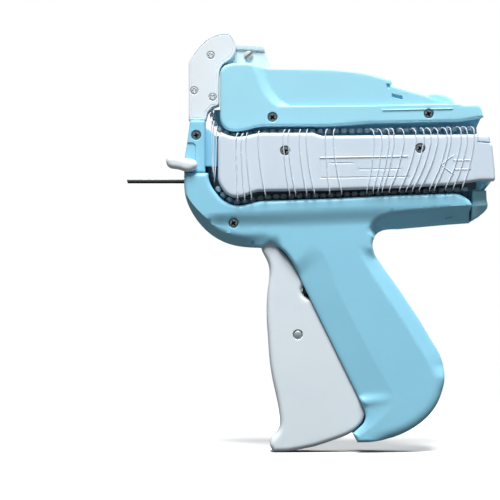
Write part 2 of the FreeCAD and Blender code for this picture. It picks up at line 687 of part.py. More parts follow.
def make_housing_left():
    """Left shell of lower body and grip."""
    points = casing_outline()
    boss, well, _ = shell_screw_parts(CASING_SCREW_PX, screw_half())
    outer = casing_form(-1, cushion(points, -CASING_HALF, 0, CASING_ROUND),
                        cushion(points, -GRIP_HALF, 0, CASING_ROUND), 0)
    inner = casing_form(-1, hollow(points, CASING_WALL, -CASING_HALF + CASING_WALL, OVERRUN),
                        hollow(points, CASING_WALL, -GRIP_HALF + CASING_WALL, OVERRUN),
                        CASING_WALL)
    ribs = [boss,
            nose_block_core(-NOSE_CORE_HALF, 0),
            drum(LEVER_PIVOT_PX, PIVOT_BOSS_RADIUS, -GRIP_HALF + CASING_WALL - SEAM, -PIVOT_BOSS_GAP),
            drum(TRIGGER_PIVOT_PX, PIVOT_BOSS_RADIUS, -GRIP_HALF + CASING_WALL - SEAM,
                 -TRIGGER_HALF - FIT_GAP),
            drum(WHEEL_PX, WHEEL_AXLE_RADIUS + CASING_WALL / 2, -CASING_HALF + CASING_WALL - SEAM,
                 -WHEEL_HALF - FIT_GAP),
            prism(outline(straight(SPRING_RIB_PX)), -SPRING_OFFSET - RETURN_SPRING_RADIUS,
                  -SPRING_OFFSET + RETURN_SPRING_RADIUS)]
    body = union(less(outer, inner, trigger_swing()), *ribs)
    return less(body, well, *shell_ways(), *pin_bores())


def make_housing_right():
    """Right shell: grip, lower body and the wall behind the magazine."""
    lower = casing_outline()
    whole = right_outline()
    back = PLATE_FRONT + PLATE_THICKNESS
    _, well, boss = shell_screw_parts(CASING_SCREW_PX, screw_half())
    high = prism(lower, 0, back).fuse(cushion(whole, CASING_HALF, back, CASING_ROUND))
    outer = casing_form(1, high, cushion(lower, GRIP_HALF, 0, CASING_ROUND), 0)
    high_space = hollow(lower, CASING_WALL, -OVERRUN, back).fuse(
        hollow(whole, CASING_WALL, back, CASING_HALF - CASING_WALL))
    inner = casing_form(1, high_space,
                        hollow(lower, CASING_WALL, -OVERRUN, GRIP_HALF - CASING_WALL), CASING_WALL)
    body_wall = CASING_HALF - CASING_WALL + SEAM
    grip_wall = GRIP_HALF - CASING_WALL + SEAM
    ribs = [boss,
            nose_block_core(0, NOSE_CORE_HALF),
            drum(NOSE_SCREW_PX, BOSS_RADIUS, back, body_wall),
            drum(LEVER_PIVOT_PX, PIVOT_BOSS_RADIUS, LEVER_FRONT + LEVER_THICKNESS + FIT_GAP,
                 grip_wall),
            drum(TRIGGER_PIVOT_PX, PIVOT_BOSS_RADIUS, TRIGGER_HALF + FIT_GAP, grip_wall),
            drum(WHEEL_PX, WHEEL_AXLE_RADIUS + CASING_WALL / 2, WHEEL_HALF + FIT_GAP, body_wall),
            block(TAIL_BLOCK_PX[0], TAIL_BLOCK_PX[1], -TAIL_FRONT, back)]
    body = union(less(outer, inner, trigger_swing()), *ribs)
    screw_way = screw_well(NOSE_SCREW_PX, -NOSE_FACE, SCREW_WELL_DEPTH, CASING_SCREW_LENGTH)
    return less(body, well, screw_way, *shell_ways(), *pin_bores())


def pin_bores():
    """Bores for the pins that both shells hold."""
    grip = GRIP_HALF - CASING_WALL / 2
    body = CASING_HALF - CASING_WALL / 2
    return (drum(LEVER_PIVOT_PX, LEVER_PIN_RADIUS + RUN_GAP, -grip, grip),
            drum(TRIGGER_PIVOT_PX, TRIGGER_PIN_RADIUS + RUN_GAP, -grip, grip),
            drum(WHEEL_PX, WHEEL_AXLE_RADIUS + RUN_GAP, -body, body))


def shell_pin(place, radius, half):
    """Pin that reaches from shell to shell, in walls that far from the middle plane."""
    reach = half - CASING_WALL / 2 - SEAM
    return drum(place, radius, -reach, reach)


# Nose
def make_nose_block():
    """Upper nose block with the strip behind it that the clip's threads pass over."""
    front = smooth(NOSE_FRONT_PX) + straight(((NOSE_FRONT_PX[-1][0], NOSE_PARTING_PY),
                                              (NOSE_BACK_PX[0], NOSE_PARTING_PY), NOSE_BACK_PX))
    back = PLATE_FRONT + PLATE_THICKNESS - SEAM
    main = cushion(outline(front), -NOSE_FACE, back, NOSE_ROUND)
    strip = prism(outline(straight(STRIP_PX)), -STRIP_FACE, -STRIP_BACK)
    ledge = prism(outline(straight(LEDGE_PX)), -NOSE_FACE - OVERRUN, -NOSE_FACE + LEDGE_DEPTH)
    well = screw_well(NOSE_SCREW_PX, -NOSE_FACE, SCREW_WELL_DEPTH, CASING_SCREW_LENGTH)
    knife = knife_blade(SEAM)
    pin = drum(LOCK_PIVOT_PX, LOCK_PIN_RADIUS + RUN_GAP, -NOSE_FACE - OVERRUN,
               -NOSE_FACE + LOCK_PIN_DEPTH + SEAM)
    return less(main.fuse(strip), ledge, well, knife, pin, nose_space(), rail_space(UPPER_RAIL_PX))


def knife_blade(gap):
    """Knife above the needle's root, grown by a gap."""
    return Part.makeBox(KNIFE_THICKNESS + 2 * gap, 2 * (KNIFE_HALF + gap), KNIFE_HEIGHT + gap,
                        Vector(KNIFE_START - gap, -KNIFE_HALF - gap, HUB_COLLAR_RADIUS + SEAM - gap))


def make_needle_hub():
    """Moulded hub that holds the needle, with the way through for the plunger rod."""
    bore = Part.makeCylinder(NEEDLE_TAIL_RADIUS + RUN_GAP, NEEDLE_TAIL + OVERRUN + RUN_GAP,
                             Vector(HUB_START - OVERRUN, 0, 0), Vector(1, 0, 0))
    rod_way = Part.makeCylinder(ROD_RADIUS + SEAM, HUB_LENGTH + 2 * OVERRUN,
                                Vector(HUB_START - OVERRUN, 0, 0), Vector(1, 0, 0))
    return less(hub_space(0), bore, rod_way)


def make_needle():
    """Hollow needle, slotted along its length, its tip cut slanting."""
    length = NEEDLE_LENGTH + HUB_START + NEEDLE_TAIL
    tip = Vector(-NEEDLE_LENGTH, 0, 0)
    free = Part.makeCylinder(NEEDLE_RADIUS, NEEDLE_LENGTH, tip, Vector(1, 0, 0))
    held = Part.makeCylinder(NEEDLE_TAIL_RADIUS, length - NEEDLE_LENGTH, Vector(0, 0, 0),
                             Vector(1, 0, 0))
    bore = Part.makeCylinder(NEEDLE_BORE_RADIUS, length, tip, Vector(1, 0, 0))
    reach = NEEDLE_TAIL_RADIUS + OVERRUN
    slot = Part.makeBox(length - NEEDLE_TAIL / 2, NEEDLE_SLOT, reach,
                        Vector(-NEEDLE_LENGTH - OVERRUN, -NEEDLE_SLOT / 2, -reach))
    slot.rotate(Vector(0, 0, 0), Vector(1, 0, 0), -NEEDLE_SLOT_TURN)
    corners = [tip + Vector(-OVERRUN, 0, NEEDLE_RADIUS), tip + Vector(0, 0, NEEDLE_RADIUS),
               tip + Vector(NEEDLE_SLANT, 0, -NEEDLE_RADIUS - RUN_GAP),
               tip + Vector(-OVERRUN, 0, -NEEDLE_RADIUS - RUN_GAP)]
    slant = prism(corners, -NEEDLE_RADIUS - OVERRUN, NEEDLE_RADIUS + OVERRUN)
    return less(free.fuse(held), bore, slot, slant)


def make_needle_lock():
    """Round-ended lever that locks the needle hub, with its own stub pin."""
    face = -LOCK_INNER - LOCK_THICKNESS
    peg = cushion(outline(smooth(LOCK_PX + LOCK_PX[:1])), face, -LOCK_INNER, LOCK_ROUND)
    pin = drum(LOCK_PIVOT_PX, LOCK_PIN_RADIUS, -LOCK_INNER - SEAM, -NOSE_FACE + LOCK_PIN_DEPTH)
    return peg.fuse(pin)


# Upper housing
def upper_space():
    """What the upper housing leaves free: the rear guide arm and the latch."""
    arm = prism(outline(straight(ARM_PX)), -ARM_HALF - SEAM, ARM_HALF + SEAM)
    latch = prism(outline(straight(LATCH_POCKET_PX)), -LATCH_HALF - SEAM, LATCH_HALF + SEAM)
    return arm, latch


def make_upper_left():
    """Left half of the upper housing, with the recess in its face."""
    points = upper_outline()
    bosses = []
    wells = []
    for place in UPPER_SCREWS_PX:
        boss, well, _ = shell_screw_parts(place, UPPER_HALF)
        bosses.append(boss)
        wells.append(well)
    recess = prism(outline(smooth(RECESS_CURVE_PX), straight(RECESS_REST_PX)),
                   -UPPER_HALF - OVERRUN, -UPPER_HALF + RECESS_DEPTH)
    shell = less(cushion(points, -UPPER_HALF, 0, UPPER_ROUND),
                 hollow(points, UPPER_WALL, -UPPER_HALF + UPPER_WALL + RECESS_DEPTH, OVERRUN), recess)
    floor = latch_floor(-UPPER_HALF + UPPER_WALL, 0)
    return less(union(shell, floor, *bosses), *wells, *upper_space())


def latch_floor(low, high):
    """Solid stretch of the upper housing round the latch's pocket."""
    return prism(outline(straight(LATCH_FLOOR_PX)), low, high)


def make_upper_right():
    """Right half of the upper housing, with the back wall of the upper track."""
    points = upper_outline()
    bosses = []
    wells = []
    for place in UPPER_SCREWS_PX:
        _, well, boss = shell_screw_parts(place, UPPER_HALF)
        bosses.append(boss)
        wells.append(well)
    back = PLATE_FRONT + PLATE_THICKNESS
    shell = less(cushion(points, UPPER_HALF, 0, UPPER_ROUND),
                 hollow(points, UPPER_WALL, -OVERRUN, UPPER_HALF - UPPER_WALL))
    skirt = prism(outline(straight(SKIRT_PX)), PLATE_FRONT, UPPER_HALF - UPPER_ROUND)
    floor = latch_floor(0, UPPER_HALF - UPPER_WALL)
    return less(union(shell, floor, skirt, *bosses), *wells, *upper_space())


def make_latch():
    """Thumb tab that slides back to free the upper housing."""
    return prism(outline(straight(LATCH_PX)), -LATCH_HALF, LATCH_HALF)


# Head guide
def rail_space(places):
    """Way of a clip rail, with room round it."""
    return prism(ribbon(places, RAIL_HEIGHT + 2 * FIT_GAP), -RAIL_HALF - FIT_GAP,
                 PLATE_FRONT)


def make_head_body():
    """White guide body with the way for the end of the upper rail."""
    points = head_outline()
    holes = [sunk_hole(place, -HEAD_FACE - HEAD_PLATE, PLATE_SCREW_HEAD_RADIUS, PLATE_SCREW_LENGTH)
             for place in HEAD_SCREWS_PX]
    body = cushion(points, HEAD_BACK, -HEAD_FACE + SEAM, HEAD_ROUND)
    return less(body, rail_space(UPPER_RAIL_PX), *holes)


def make_head_plate():
    """White plate that closes the head guide on the left."""
    holes = [sunk_hole(place, -HEAD_FACE - HEAD_PLATE, PLATE_SCREW_HEAD_RADIUS, PLATE_SCREW_LENGTH)
             for place in HEAD_SCREWS_PX]
    return less(cushion(head_outline(), -HEAD_FACE - HEAD_PLATE, -HEAD_FACE, HEAD_ROUND), *holes)


def make_rear_arm():
    """White arm that carries the head guide from inside the upper housing."""
    arm = prism(outline(straight(ARM_PX)), -ARM_HALF, ARM_HALF)
    flange = prism(outline(straight(ARM_FLANGE_PX)), -ARM_FLANGE_HALF, ARM_FLANGE_HALF)
    head = prism([point for point in mitred(head_outline(), -SEAM)], -HEAD_FACE - HEAD_PLATE - SEAM,
                 HEAD_BACK + SEAM)
    hole = drum(ARM_SCREW_PX, SCREW_RADIUS + RUN_GAP, -ARM_HALF - OVERRUN, ARM_HALF + OVERRUN)
    return less(arm.fuse(flange), head, hole)


def make_arm_screw():
    """Slotted screw that holds the rear guide arm."""
    top = -ARM_HALF - SCREW_HEAD_HEIGHT
    head = drum(ARM_SCREW_PX, ARM_SCREW_HEAD_RADIUS, top, -ARM_HALF)
    shank = drum(ARM_SCREW_PX, SCREW_RADIUS, -ARM_HALF - SEAM, ARM_HALF - SEAM)
    slot = Part.makeBox(2 * ARM_SCREW_HEAD_RADIUS, CROSS_DEPTH + OVERRUN, CROSS_WIDTH,
                        Vector(-ARM_SCREW_HEAD_RADIUS, top - OVERRUN, -CROSS_WIDTH / 2))
    slot.rotate(Vector(0, 0, 0), Vector(0, 1, 0), -ARM_SLOT_TURN)
    slot.translate(spot(ARM_SCREW_PX))
    return less(head.fuse(shank), slot)


# Magazine
def make_cover():
    """White magazine cover, a shallow tray with two screw wells."""
    points = cover_outline()
    shell = less(cushion(points, -COVER_FACE, -COVER_RIM, COVER_ROUND),
                 hollow(points, COVER_WALL, -COVER_FACE + COVER_WALL, -COVER_RIM + OVERRUN))
    bosses = [drum(place, BOSS_RADIUS, -COVER_FACE + COVER_WALL - SEAM, -CORE_FACE - SEAM)
              for place in COVER_SCREWS_PX]
    wells = [screw_well(place, -COVER_FACE, COVER_WELL_DEPTH, COVER_SCREW_LENGTH)
             for place in COVER_SCREWS_PX]
    groove = prism(outline(straight(COVER_GROOVE_PX)), -COVER_FACE - OVERRUN, -COVER_FACE + GROOVE_DEPTH)
    return less(union(shell, *bosses), groove, *wells)


def slide_way():
    """Way of the plunger slide and its rod through the magazine core."""
    low = slide_start() - STROKE - FIT_GAP
    channel = Part.makeBox(SLIDE_LENGTH + STROKE + 2 * FIT_GAP, SLIDE_FRONT + FIT_GAP + PLATE_FRONT,
                           2 * (SLIDE_HALF_HEIGHT + FIT_GAP),
                           Vector(low, -SLIDE_FRONT - FIT_GAP, -SLIDE_HALF_HEIGHT - FIT_GAP))
    rod_way = Part.makeCylinder(ROD_RADIUS + FIT_GAP, BODY_LENGTH, Vector(0, 0, 0), Vector(1, 0, 0))
    return channel, rod_way


def make_core():
    """Blue core under the cover, between the two tracks."""
    points = cover_outline()
    core = hollow(points, COVER_WALL + FIT_GAP, -CORE_FACE, PLATE_FRONT - RUN_GAP)
    holes = [screw_well(place, -COVER_FACE, COVER_WELL_DEPTH, COVER_SCREW_LENGTH)
             for place in COVER_SCREWS_PX]
    channel, rod_way = slide_way()
    rod_end = Part.makeBox(BODY_LENGTH, 2 * CASING_HALF, TOOL_HEIGHT,
                           Vector(slide_start() + SLIDE_LENGTH, -CASING_HALF, -TOOL_HEIGHT / 2))
    return less(core, channel, rod_way.cut(rod_end), *holes)


def make_plate():
    """Backing plate of the magazine, with the slot that the slide's pin runs in."""
    plate = prism(outline(straight(PLATE_PX)), PLATE_FRONT,
                  PLATE_FRONT + PLATE_THICKNESS - RUN_GAP)
    reach = SLIDE_PIN_RADIUS + FIT_GAP
    start = pin_rest().x - STROKE - reach
    slot = Part.makeBox(STROKE + 2 * reach, PLATE_THICKNESS + 2 * OVERRUN, 2 * reach,
                        Vector(start, PLATE_FRONT - OVERRUN, -reach))
    return less(plate, slot)


def rail(places):
    """Clip rail: a thin web that carries one block for each fastener."""
    web = prism(ribbon(places, RAIL_HEIGHT), RAIL_HALF - RAIL_WEB, RAIL_HALF)
    curve = Part.BSplineCurve()
    curve.interpolate([spot(place) for place in places])
    count = int(curve.length() / RAIL_PITCH)
    blocks = []
    for index in range(count):
        near = curve.value(curve.parameterAtDistance(RAIL_PITCH * index))
        far = curve.value(curve.parameterAtDistance(RAIL_PITCH * (index + RAIL_BLOCK_SHARE)))
        along = (far - near).normalize()
        side = Vector(-along.z, 0, along.x) * (RAIL_HEIGHT / 2)
        corners = [near + side, far + side, far - side, near - side]
        blocks.append(prism(corners, -RAIL_HALF, RAIL_HALF - RAIL_WEB / 2))
    return union(web, *blocks)


def thread(top, bottom, face):
    """One fastener thread, from the upper rail out over a face and in to the lower rail."""
    upper = spot(top, -RAIL_HALF)
    lower = spot(bottom, -RAIL_HALF)
    out = Vector(0, -face, 0)
    corners = [upper, Vector(upper.x, -face, upper.z), Vector(lower.x, -face, lower.z), lower]
    edges = []
    start = corners[0]
    for before, corner, after in zip(corners, corners[1:], corners[2:]):
        inward = (before - corner).normalize()
        onward = (after - corner).normalize()
        reach = FILAMENT_BEND
        first = corner + inward * reach
        last = corner + onward * reach
        centre_way = (inward + onward).normalize()
        half = inward.getAngle(onward) / 2
        radius = reach * math.tan(half)
        middle = corner + centre_way * (reach / math.cos(half) - radius)
        edges.append(Part.makeLine(start, first))
        edges.append(Part.Arc(first, middle, last).toShape())
        start = last
    edges.append(Part.makeLine(start, corners[-1]))
    path = Part.Wire(edges)
    circle = Part.Wire(Part.makeCircle(FILAMENT_RADIUS, corners[0], Vector(0, 1, 0)))
    return path.makePipeShell([circle], True, False)


def row_at(places, px):
    """Row of the photograph frame where a rail crosses a column."""
    for right, left in zip(places, places[1:]):
        if left[0] <= px <= right[0]:
            share = (px - left[0]) / (right[0] - left[0])
            return left[1] + share * (right[1] - left[1])
    return places[0][1]


def make_threads():
    """All threads of the loaded clip."""
    face = COVER_FACE + FILAMENT_LIFT + FILAMENT_RADIUS
    body = [thread((top, row_at(UPPER_RAIL_PX, top)), (foot, row_at(LOWER_RAIL_PX, foot)), face)
            for top, foot in THREADS_PX]
    nose = [thread(top, foot, NOSE_THREAD_FACE) for top, foot in NOSE_THREADS_PX]
    return body + nose


# Plunger, lever, link and trigger
def pin_rest():
    """Place of the slide's pin at rest: half a stroke behind the lever's pivot."""
    return Vector(spot(LEVER_PIVOT_PX).x + STROKE / 2, 0, 0)


def slide_start():
    """X of the slide's front end at rest."""
    return pin_rest().x - SLIDE_LENGTH * SLIDE_PIN_SHARE


def make_slide():
    """Plunger slide."""
    body = Part.makeBox(SLIDE_LENGTH, SLIDE_FRONT + SLIDE_BACK, 2 * SLIDE_HALF_HEIGHT,
                        Vector(slide_start(), -SLIDE_FRONT, -SLIDE_HALF_HEIGHT))
    socket = Part.makeCylinder(ROD_RADIUS + RUN_GAP, ROD_SOCKET + OVERRUN,
                               Vector(slide_start() - OVERRUN, 0, 0), Vector(1, 0, 0))
    bore = Part.makeCylinder(SLIDE_PIN_RADIUS + RUN_GAP, 2 * CASING_HALF,
                             pin_rest() - Vector(0, CASING_HALF, 0), Vector(0, 1, 0))
    return less(body, socket, bore)


def make_rod():
    """Plunger rod that pushes a fastener through the needle."""
    return Part.makeCylinder(ROD_RADIUS, slide_start() + ROD_SOCKET - ROD_REST_TIP,
                             Vector(ROD_REST_TIP, 0, 0), Vector(1, 0, 0))


def make_slide_pin():
    """Pin through the slide that the lever's fork drives."""
    length = SLIDE_FRONT + LEVER_FRONT + LEVER_THICKNESS + SEAM
    return Part.makeCylinder(SLIDE_PIN_RADIUS, length, pin_rest() - Vector(0, SLIDE_FRONT, 0),
                             Vector(0, 1, 0))


def make_lever():
    """Steel drive lever with a fork at its top and the link's pin hole at its foot."""
    pivot = spot(LEVER_PIVOT_PX)
    foot = spot(LEVER_FOOT_PX)
    top = pin_rest()
    reach = (top - pivot).normalize()
    low = LEVER_FRONT
    high = LEVER_FRONT + LEVER_THICKNESS
    body = bar(foot, pivot, LEVER_WIDTH, low, high).fuse(
        bar(pivot, pivot + reach * (pivot.distanceToPoint(top)), LEVER_WIDTH, low, high))
    shortest = abs(pivot.z)
    slot = bar(pivot + reach * (shortest - FORK_DEPTH), pivot + reach * (2 * shortest),
               2 * (SLIDE_PIN_RADIUS + LEVER_FORK_GAP), low - OVERRUN, high + OVERRUN)
    bores = (drum(LEVER_PIVOT_PX, LEVER_PIN_RADIUS + RUN_GAP, low - OVERRUN, high + OVERRUN),
             drum(LEVER_FOOT_PX, LINK_PIN_RADIUS + RUN_GAP, low - OVERRUN, high + OVERRUN))
    return less(body, slot, *bores)


def make_link():
    """Steel link from the trigger's pin to the lever's foot."""
    low = LINK_FRONT
    high = LINK_FRONT + LINK_THICKNESS
    near = spot(GREY_PIN_PX)
    foot = spot(LEVER_FOOT_PX)
    along = foot - near
    across = Vector(along.z, 0, -along.x).normalize()
    body = bar(near, foot, LINK_WIDTH, low, high)
    slot = bar(foot, foot + across * LINK_SLOT, 2 * (LINK_PIN_RADIUS + LINK_PLAY), low - OVERRUN,
               high + OVERRUN)
    return less(body, slot,
                drum(GREY_PIN_PX, LINK_PIN_RADIUS + RUN_GAP, low - OVERRUN, high + OVERRUN))


def make_trigger():
    """White trigger, hollow and open at the back."""
    points = trigger_outline()
    body = union(cushion(points, -TRIGGER_HALF, 0, TRIGGER_ROUND),
                 cushion(points, TRIGGER_HALF, 0, TRIGGER_ROUND))
    inside = TRIGGER_HALF - TRIGGER_WALL
    space = hollow(points, TRIGGER_WALL, -inside, inside)
    behind = space.copy()
    behind.translate(Vector(TRIGGER_OPENING, 0, TRIGGER_OPENING / 2))
    notch = drum(NOTCH_PX, NOTCH_RADIUS, -TRIGGER_HALF - OVERRUN, TRIGGER_HALF + OVERRUN)
    ear = drum(TRIGGER_PIVOT_PX, TRIGGER_PIN_RADIUS + CASING_WALL / 2, -inside, inside)
    body = less(body, space, behind, notch).fuse(ear)
    bore = drum(TRIGGER_PIVOT_PX, TRIGGER_PIN_RADIUS + RUN_GAP, -CASING_HALF, CASING_HALF)
    pin = drum(GREY_PIN_PX, GREY_PIN_RADIUS + RUN_GAP, -CASING_HALF, CASING_HALF)
    return less(body, bore, pin)


def make_grey_pin():
    """Pin through the trigger that the link hangs on, thinner between the trigger's walls."""
    inside = TRIGGER_HALF - TRIGGER_WALL
    heads = [drum(GREY_PIN_PX, GREY_PIN_RADIUS, -TRIGGER_HALF + PIN_SINK, -inside + SEAM),
             drum(GREY_PIN_PX, GREY_PIN_RADIUS, inside - SEAM, TRIGGER_HALF - PIN_SINK)]
    return drum(GREY_PIN_PX, LINK_PIN_RADIUS, -inside, inside).fuse(heads)


def make_foot_pin():
    """Pin at the lever's foot that drives in the link."""
    return drum(LEVER_FOOT_PX, LINK_PIN_RADIUS, LINK_FRONT - SEAM,
                LEVER_FRONT + LEVER_THICKNESS + SEAM)


# Feed
def make_wheel():
    """Toothed wheel that steps the clip on."""
    centre = spot(WHEEL_PX)
    points = []
    for index in range(WHEEL_TEETH):
        for part, height in TOOTH_SHARES:
            radius = WHEEL_RADIUS + WHEEL_TOOTH * height
            angle = 2 * math.pi * (index + part) / WHEEL_TEETH
            points.append(centre + Vector(math.cos(angle), 0, math.sin(angle)) * radius)
    return less(prism(points, -WHEEL_HALF, WHEEL_HALF),
                drum(WHEEL_PX, WHEEL_AXLE_RADIUS + RUN_GAP, -CASING_HALF, CASING_HALF))


def index_spring(gap):
    """Leaf that keeps the feed wheel from turning back, grown by a gap."""
    return prism(ribbon(INDEX_SPRING_PX, INDEX_SPRING_THICKNESS + 2 * gap), -WHEEL_HALF - gap,
                 WHEEL_HALF + gap)


def spring_axis():
    """Height of the return spring's axis."""
    return z_at((SPRING_RIB_PX[0][1] + SPRING_RIB_PX[-1][1]) / 2)


def make_return_spring():
    """Return spring's space, from the trigger's front wall to its seat in the grip."""
    start = Vector(x_at(SPRING_START_PX) + FIT_GAP, -SPRING_OFFSET, spring_axis())
    end = x_at(SPRING_RIB_PX[0][0]) - FIT_GAP
    return tube(RETURN_SPRING_RADIUS, RETURN_SPRING_WIRE, start, Vector(1, 0, 0), end - start.x)


export("housing_left", make_housing_left())
export("housing_right", make_housing_right())
export("nose_block", make_nose_block())
export("upper_housing_left", make_upper_left())
export("upper_housing_right", make_upper_right())
export("head_body", make_head_body())
export("head_plate", make_head_plate())
export("rear_guide_arm", make_rear_arm())
export("magazine_cover", make_cover())
export("magazine_core", make_core())
export("magazine_plate", make_plate())
export("clip_upper_rail", rail(UPPER_RAIL_PX))
export("clip_lower_rail", rail(LOWER_RAIL_PX))
export("clip_threads", *make_threads())
export("needle", make_needle())
export("needle_hub", make_needle_hub())
export("thread_knife", knife_blade(0))
export("needle_lock", make_needle_lock())
export("plunger_slide", make_slide())
export("plunger_rod", make_rod())
export("slide_pin", make_slide_pin())
export("drive_lever", make_lever())
export("lever_foot_pin", make_foot_pin())
export("lever_pivot_pin", shell_pin(LEVER_PIVOT_PX, LEVER_PIN_RADIUS, GRIP_HALF))
export("trigger_link", make_link())
export("trigger", make_trigger())
export("trigger_link_pin", make_grey_pin())
export("trigger_pivot_pin", shell_pin(TRIGGER_PIVOT_PX, TRIGGER_PIN_RADIUS, GRIP_HALF))
export("return_spring", make_return_spring())
export("feed_wheel", make_wheel())
export("feed_wheel_axle", shell_pin(WHEEL_PX, WHEEL_AXLE_RADIUS, CASING_HALF))
export("index_spring", index_spring(0))
export("housing_latch", make_latch())
export("casing_screws", screw(CASING_SCREW_PX, -screw_half() + SCREW_WELL_DEPTH, SCREW_HEAD_RADIUS,
                              CASING_SCREW_LENGTH),
       screw(NOSE_SCREW_PX, -NOSE_FACE + SCREW_WELL_DEPTH, SCREW_HEAD_RADIUS, CASING_SCREW_LENGTH),
       *[screw(place, -UPPER_HALF + SCREW_WELL_DEPTH, SCREW_HEAD_RADIUS, CASING_SCREW_LENGTH)
         for place in UPPER_SCREWS_PX])
export("cover_screws", *[screw(place, -COVER_FACE + COVER_WELL_DEPTH, SCREW_HEAD_RADIUS,
                               COVER_SCREW_LENGTH) for place in COVER_SCREWS_PX])
export("head_screws", *[sunk_screw(place, -HEAD_FACE - HEAD_PLATE, PLATE_SCREW_HEAD_RADIUS,
                                   PLATE_SCREW_LENGTH) for place in HEAD_SCREWS_PX])
export("arm_screw", make_arm_screw())
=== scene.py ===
"""Looks of a hand-held garment tag attacher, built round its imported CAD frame.

Lengths are millimetres until a mesh is made. Outlines are drawn as places (column, row) of the
500 by 500 photograph frame and turned into X and Z by the two scales of ``Frame``.
"""

import logging
import math
from dataclasses import dataclass, field
from enum import Enum
from typing import Dict, List, Sequence, Tuple

import bmesh
import bpy
import numpy as np
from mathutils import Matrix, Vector, geometry

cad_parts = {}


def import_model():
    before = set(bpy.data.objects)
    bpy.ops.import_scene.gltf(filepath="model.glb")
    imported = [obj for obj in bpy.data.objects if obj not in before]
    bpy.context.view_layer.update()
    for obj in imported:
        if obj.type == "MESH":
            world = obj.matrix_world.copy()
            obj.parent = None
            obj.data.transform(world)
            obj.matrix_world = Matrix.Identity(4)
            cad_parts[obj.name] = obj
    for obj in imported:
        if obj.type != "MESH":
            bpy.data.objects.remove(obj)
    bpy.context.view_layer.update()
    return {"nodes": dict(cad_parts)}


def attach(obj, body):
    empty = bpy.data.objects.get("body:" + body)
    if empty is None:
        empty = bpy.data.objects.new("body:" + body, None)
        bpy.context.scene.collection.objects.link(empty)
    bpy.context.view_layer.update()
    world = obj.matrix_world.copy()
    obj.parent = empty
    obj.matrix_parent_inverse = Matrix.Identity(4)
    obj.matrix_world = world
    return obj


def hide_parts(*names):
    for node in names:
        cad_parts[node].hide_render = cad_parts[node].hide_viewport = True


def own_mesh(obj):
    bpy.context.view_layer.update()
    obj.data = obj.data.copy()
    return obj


LOG = logging.getLogger("tag_attacher")
MM = 0.001
Array = np.ndarray
Place = Tuple[float, float]
Places = Sequence[Place]
Mesh = Tuple[Array, List[List[int]]]      # points and faces
Colour = Tuple[float, float, float, float]
Piece = bpy.types.Object
Tree = bpy.types.NodeTree
Node = bpy.types.Node
Socket = bpy.types.NodeSocket

SMOOTH_PITCH = 0.7      # spacing of points along a smooth outline
GRID_PITCH = 1.4        # spacing of points on an open face
FINE_PITCH = 0.28       # spacing of points beside a fine line
SHARP_ANGLE = math.radians(34)
WELL_RADIUS = 2.15      # of the holes that the casing's and the cover's screws sit in
WELL_DROP = 2.7
SHELL_GAP = 0.02        # from the middle plane to each half's edge
CHUNK = 3000            # points measured at once
TINY = 1e-9             # least length that is divided by
CORNER_GAP = 0.06       # outline points nearer than this to the one before are dropped
POINT_GRID = 0.03       # face points that fall in the same cell of this size count as one
WELD_GAP = 0.004        # points of a mirrored piece nearer than this are joined


class Frame:
    """Scales of the photograph frame."""

    ROOT_PX: Place = (184.0, 179.5)
    SCALE_X: float = 134.6 / 306
    SCALE_Z: float = 185.7 / 422


def at(places: Places) -> Array:
    """Places of the photograph frame as rows of X and Z in millimetres."""
    raw = np.asarray(places, float)
    return np.stack([(raw[:, 0] - Frame.ROOT_PX[0]) * Frame.SCALE_X,
                     (Frame.ROOT_PX[1] - raw[:, 1]) * Frame.SCALE_Z], axis=1)


def around(count: int) -> Array:
    """Even angles round a circle."""
    return np.linspace(0, 2 * math.pi, count, endpoint=False)


def steps_along(points: Array) -> Array:
    """Length run from the first point to each point of a line."""
    return np.concatenate([[0.0], np.cumsum(np.linalg.norm(np.diff(points, axis=0), axis=1))])


def spline(points: Array, count: int) -> Array:
    """Points of the natural cubic spline through rows of a line.

    The second derivatives at the knots solve the usual three-term rows, and each stretch is then the
    cubic of its two ends and their second derivatives, with the chord length as the parameter.

    Args:
        points: rows that the curve goes through.
        count: number of points returned.

    Returns:
        The points, evenly spread over the parameter.
    """
    knots = steps_along(points)
    gap = np.diff(knots)
    size = len(points)
    matrix = np.eye(size)
    right = np.zeros_like(points)
    inner = np.arange(1, size - 1)
    matrix[inner, inner - 1] = gap[:-1]
    matrix[inner, inner] = 2 * (gap[:-1] + gap[1:])
    matrix[inner, inner + 1] = gap[1:]
    slope = np.diff(points, axis=0) / gap[:, None]
    right[1:-1] = 6 * np.diff(slope, axis=0)
    bend = np.linalg.solve(matrix, right)
    t = np.linspace(0, knots[-1], count)
    k = np.clip(np.searchsorted(knots, t, side="right") - 1, 0, size - 2)
    h = gap[k][:, None]
    a = (knots[k + 1] - t)[:, None] / h
    b = 1 - a
    return (a * points[k] + b * points[k + 1]
            + ((a ** 3 - a) * bend[k] + (b ** 3 - b) * bend[k + 1]) * h * h / 6)


def smooth(places: Places) -> Array:
    """Points along the smooth curve through places."""
    points = at(places)
    count = int(math.ceil(steps_along(points)[-1] / SMOOTH_PITCH)) + 1
    return spline(points, max(count, 3))


def arc(centre: Place, radius: float, start: float, end: float, count: int = 13) -> Array:
    """Points of an arc, its angles in degrees anticlockwise from +X."""
    turn = np.radians(np.linspace(start, end, count))
    return at([centre]) + radius * np.stack([np.cos(turn), np.sin(turn)], axis=1)


def outline(*runs: Array) -> Array:
    """Closed outline, anticlockwise seen from -Y, from runs that follow each other."""
    points = np.concatenate(runs)
    keep = np.linalg.norm(points - np.roll(points, 1, axis=0), axis=1) > CORNER_GAP
    points = points[keep]
    following = np.roll(points, -1, axis=0)
    area = np.sum(points[:, 0] * following[:, 1] - following[:, 0] * points[:, 1])
    return points if area > 0 else points[::-1]


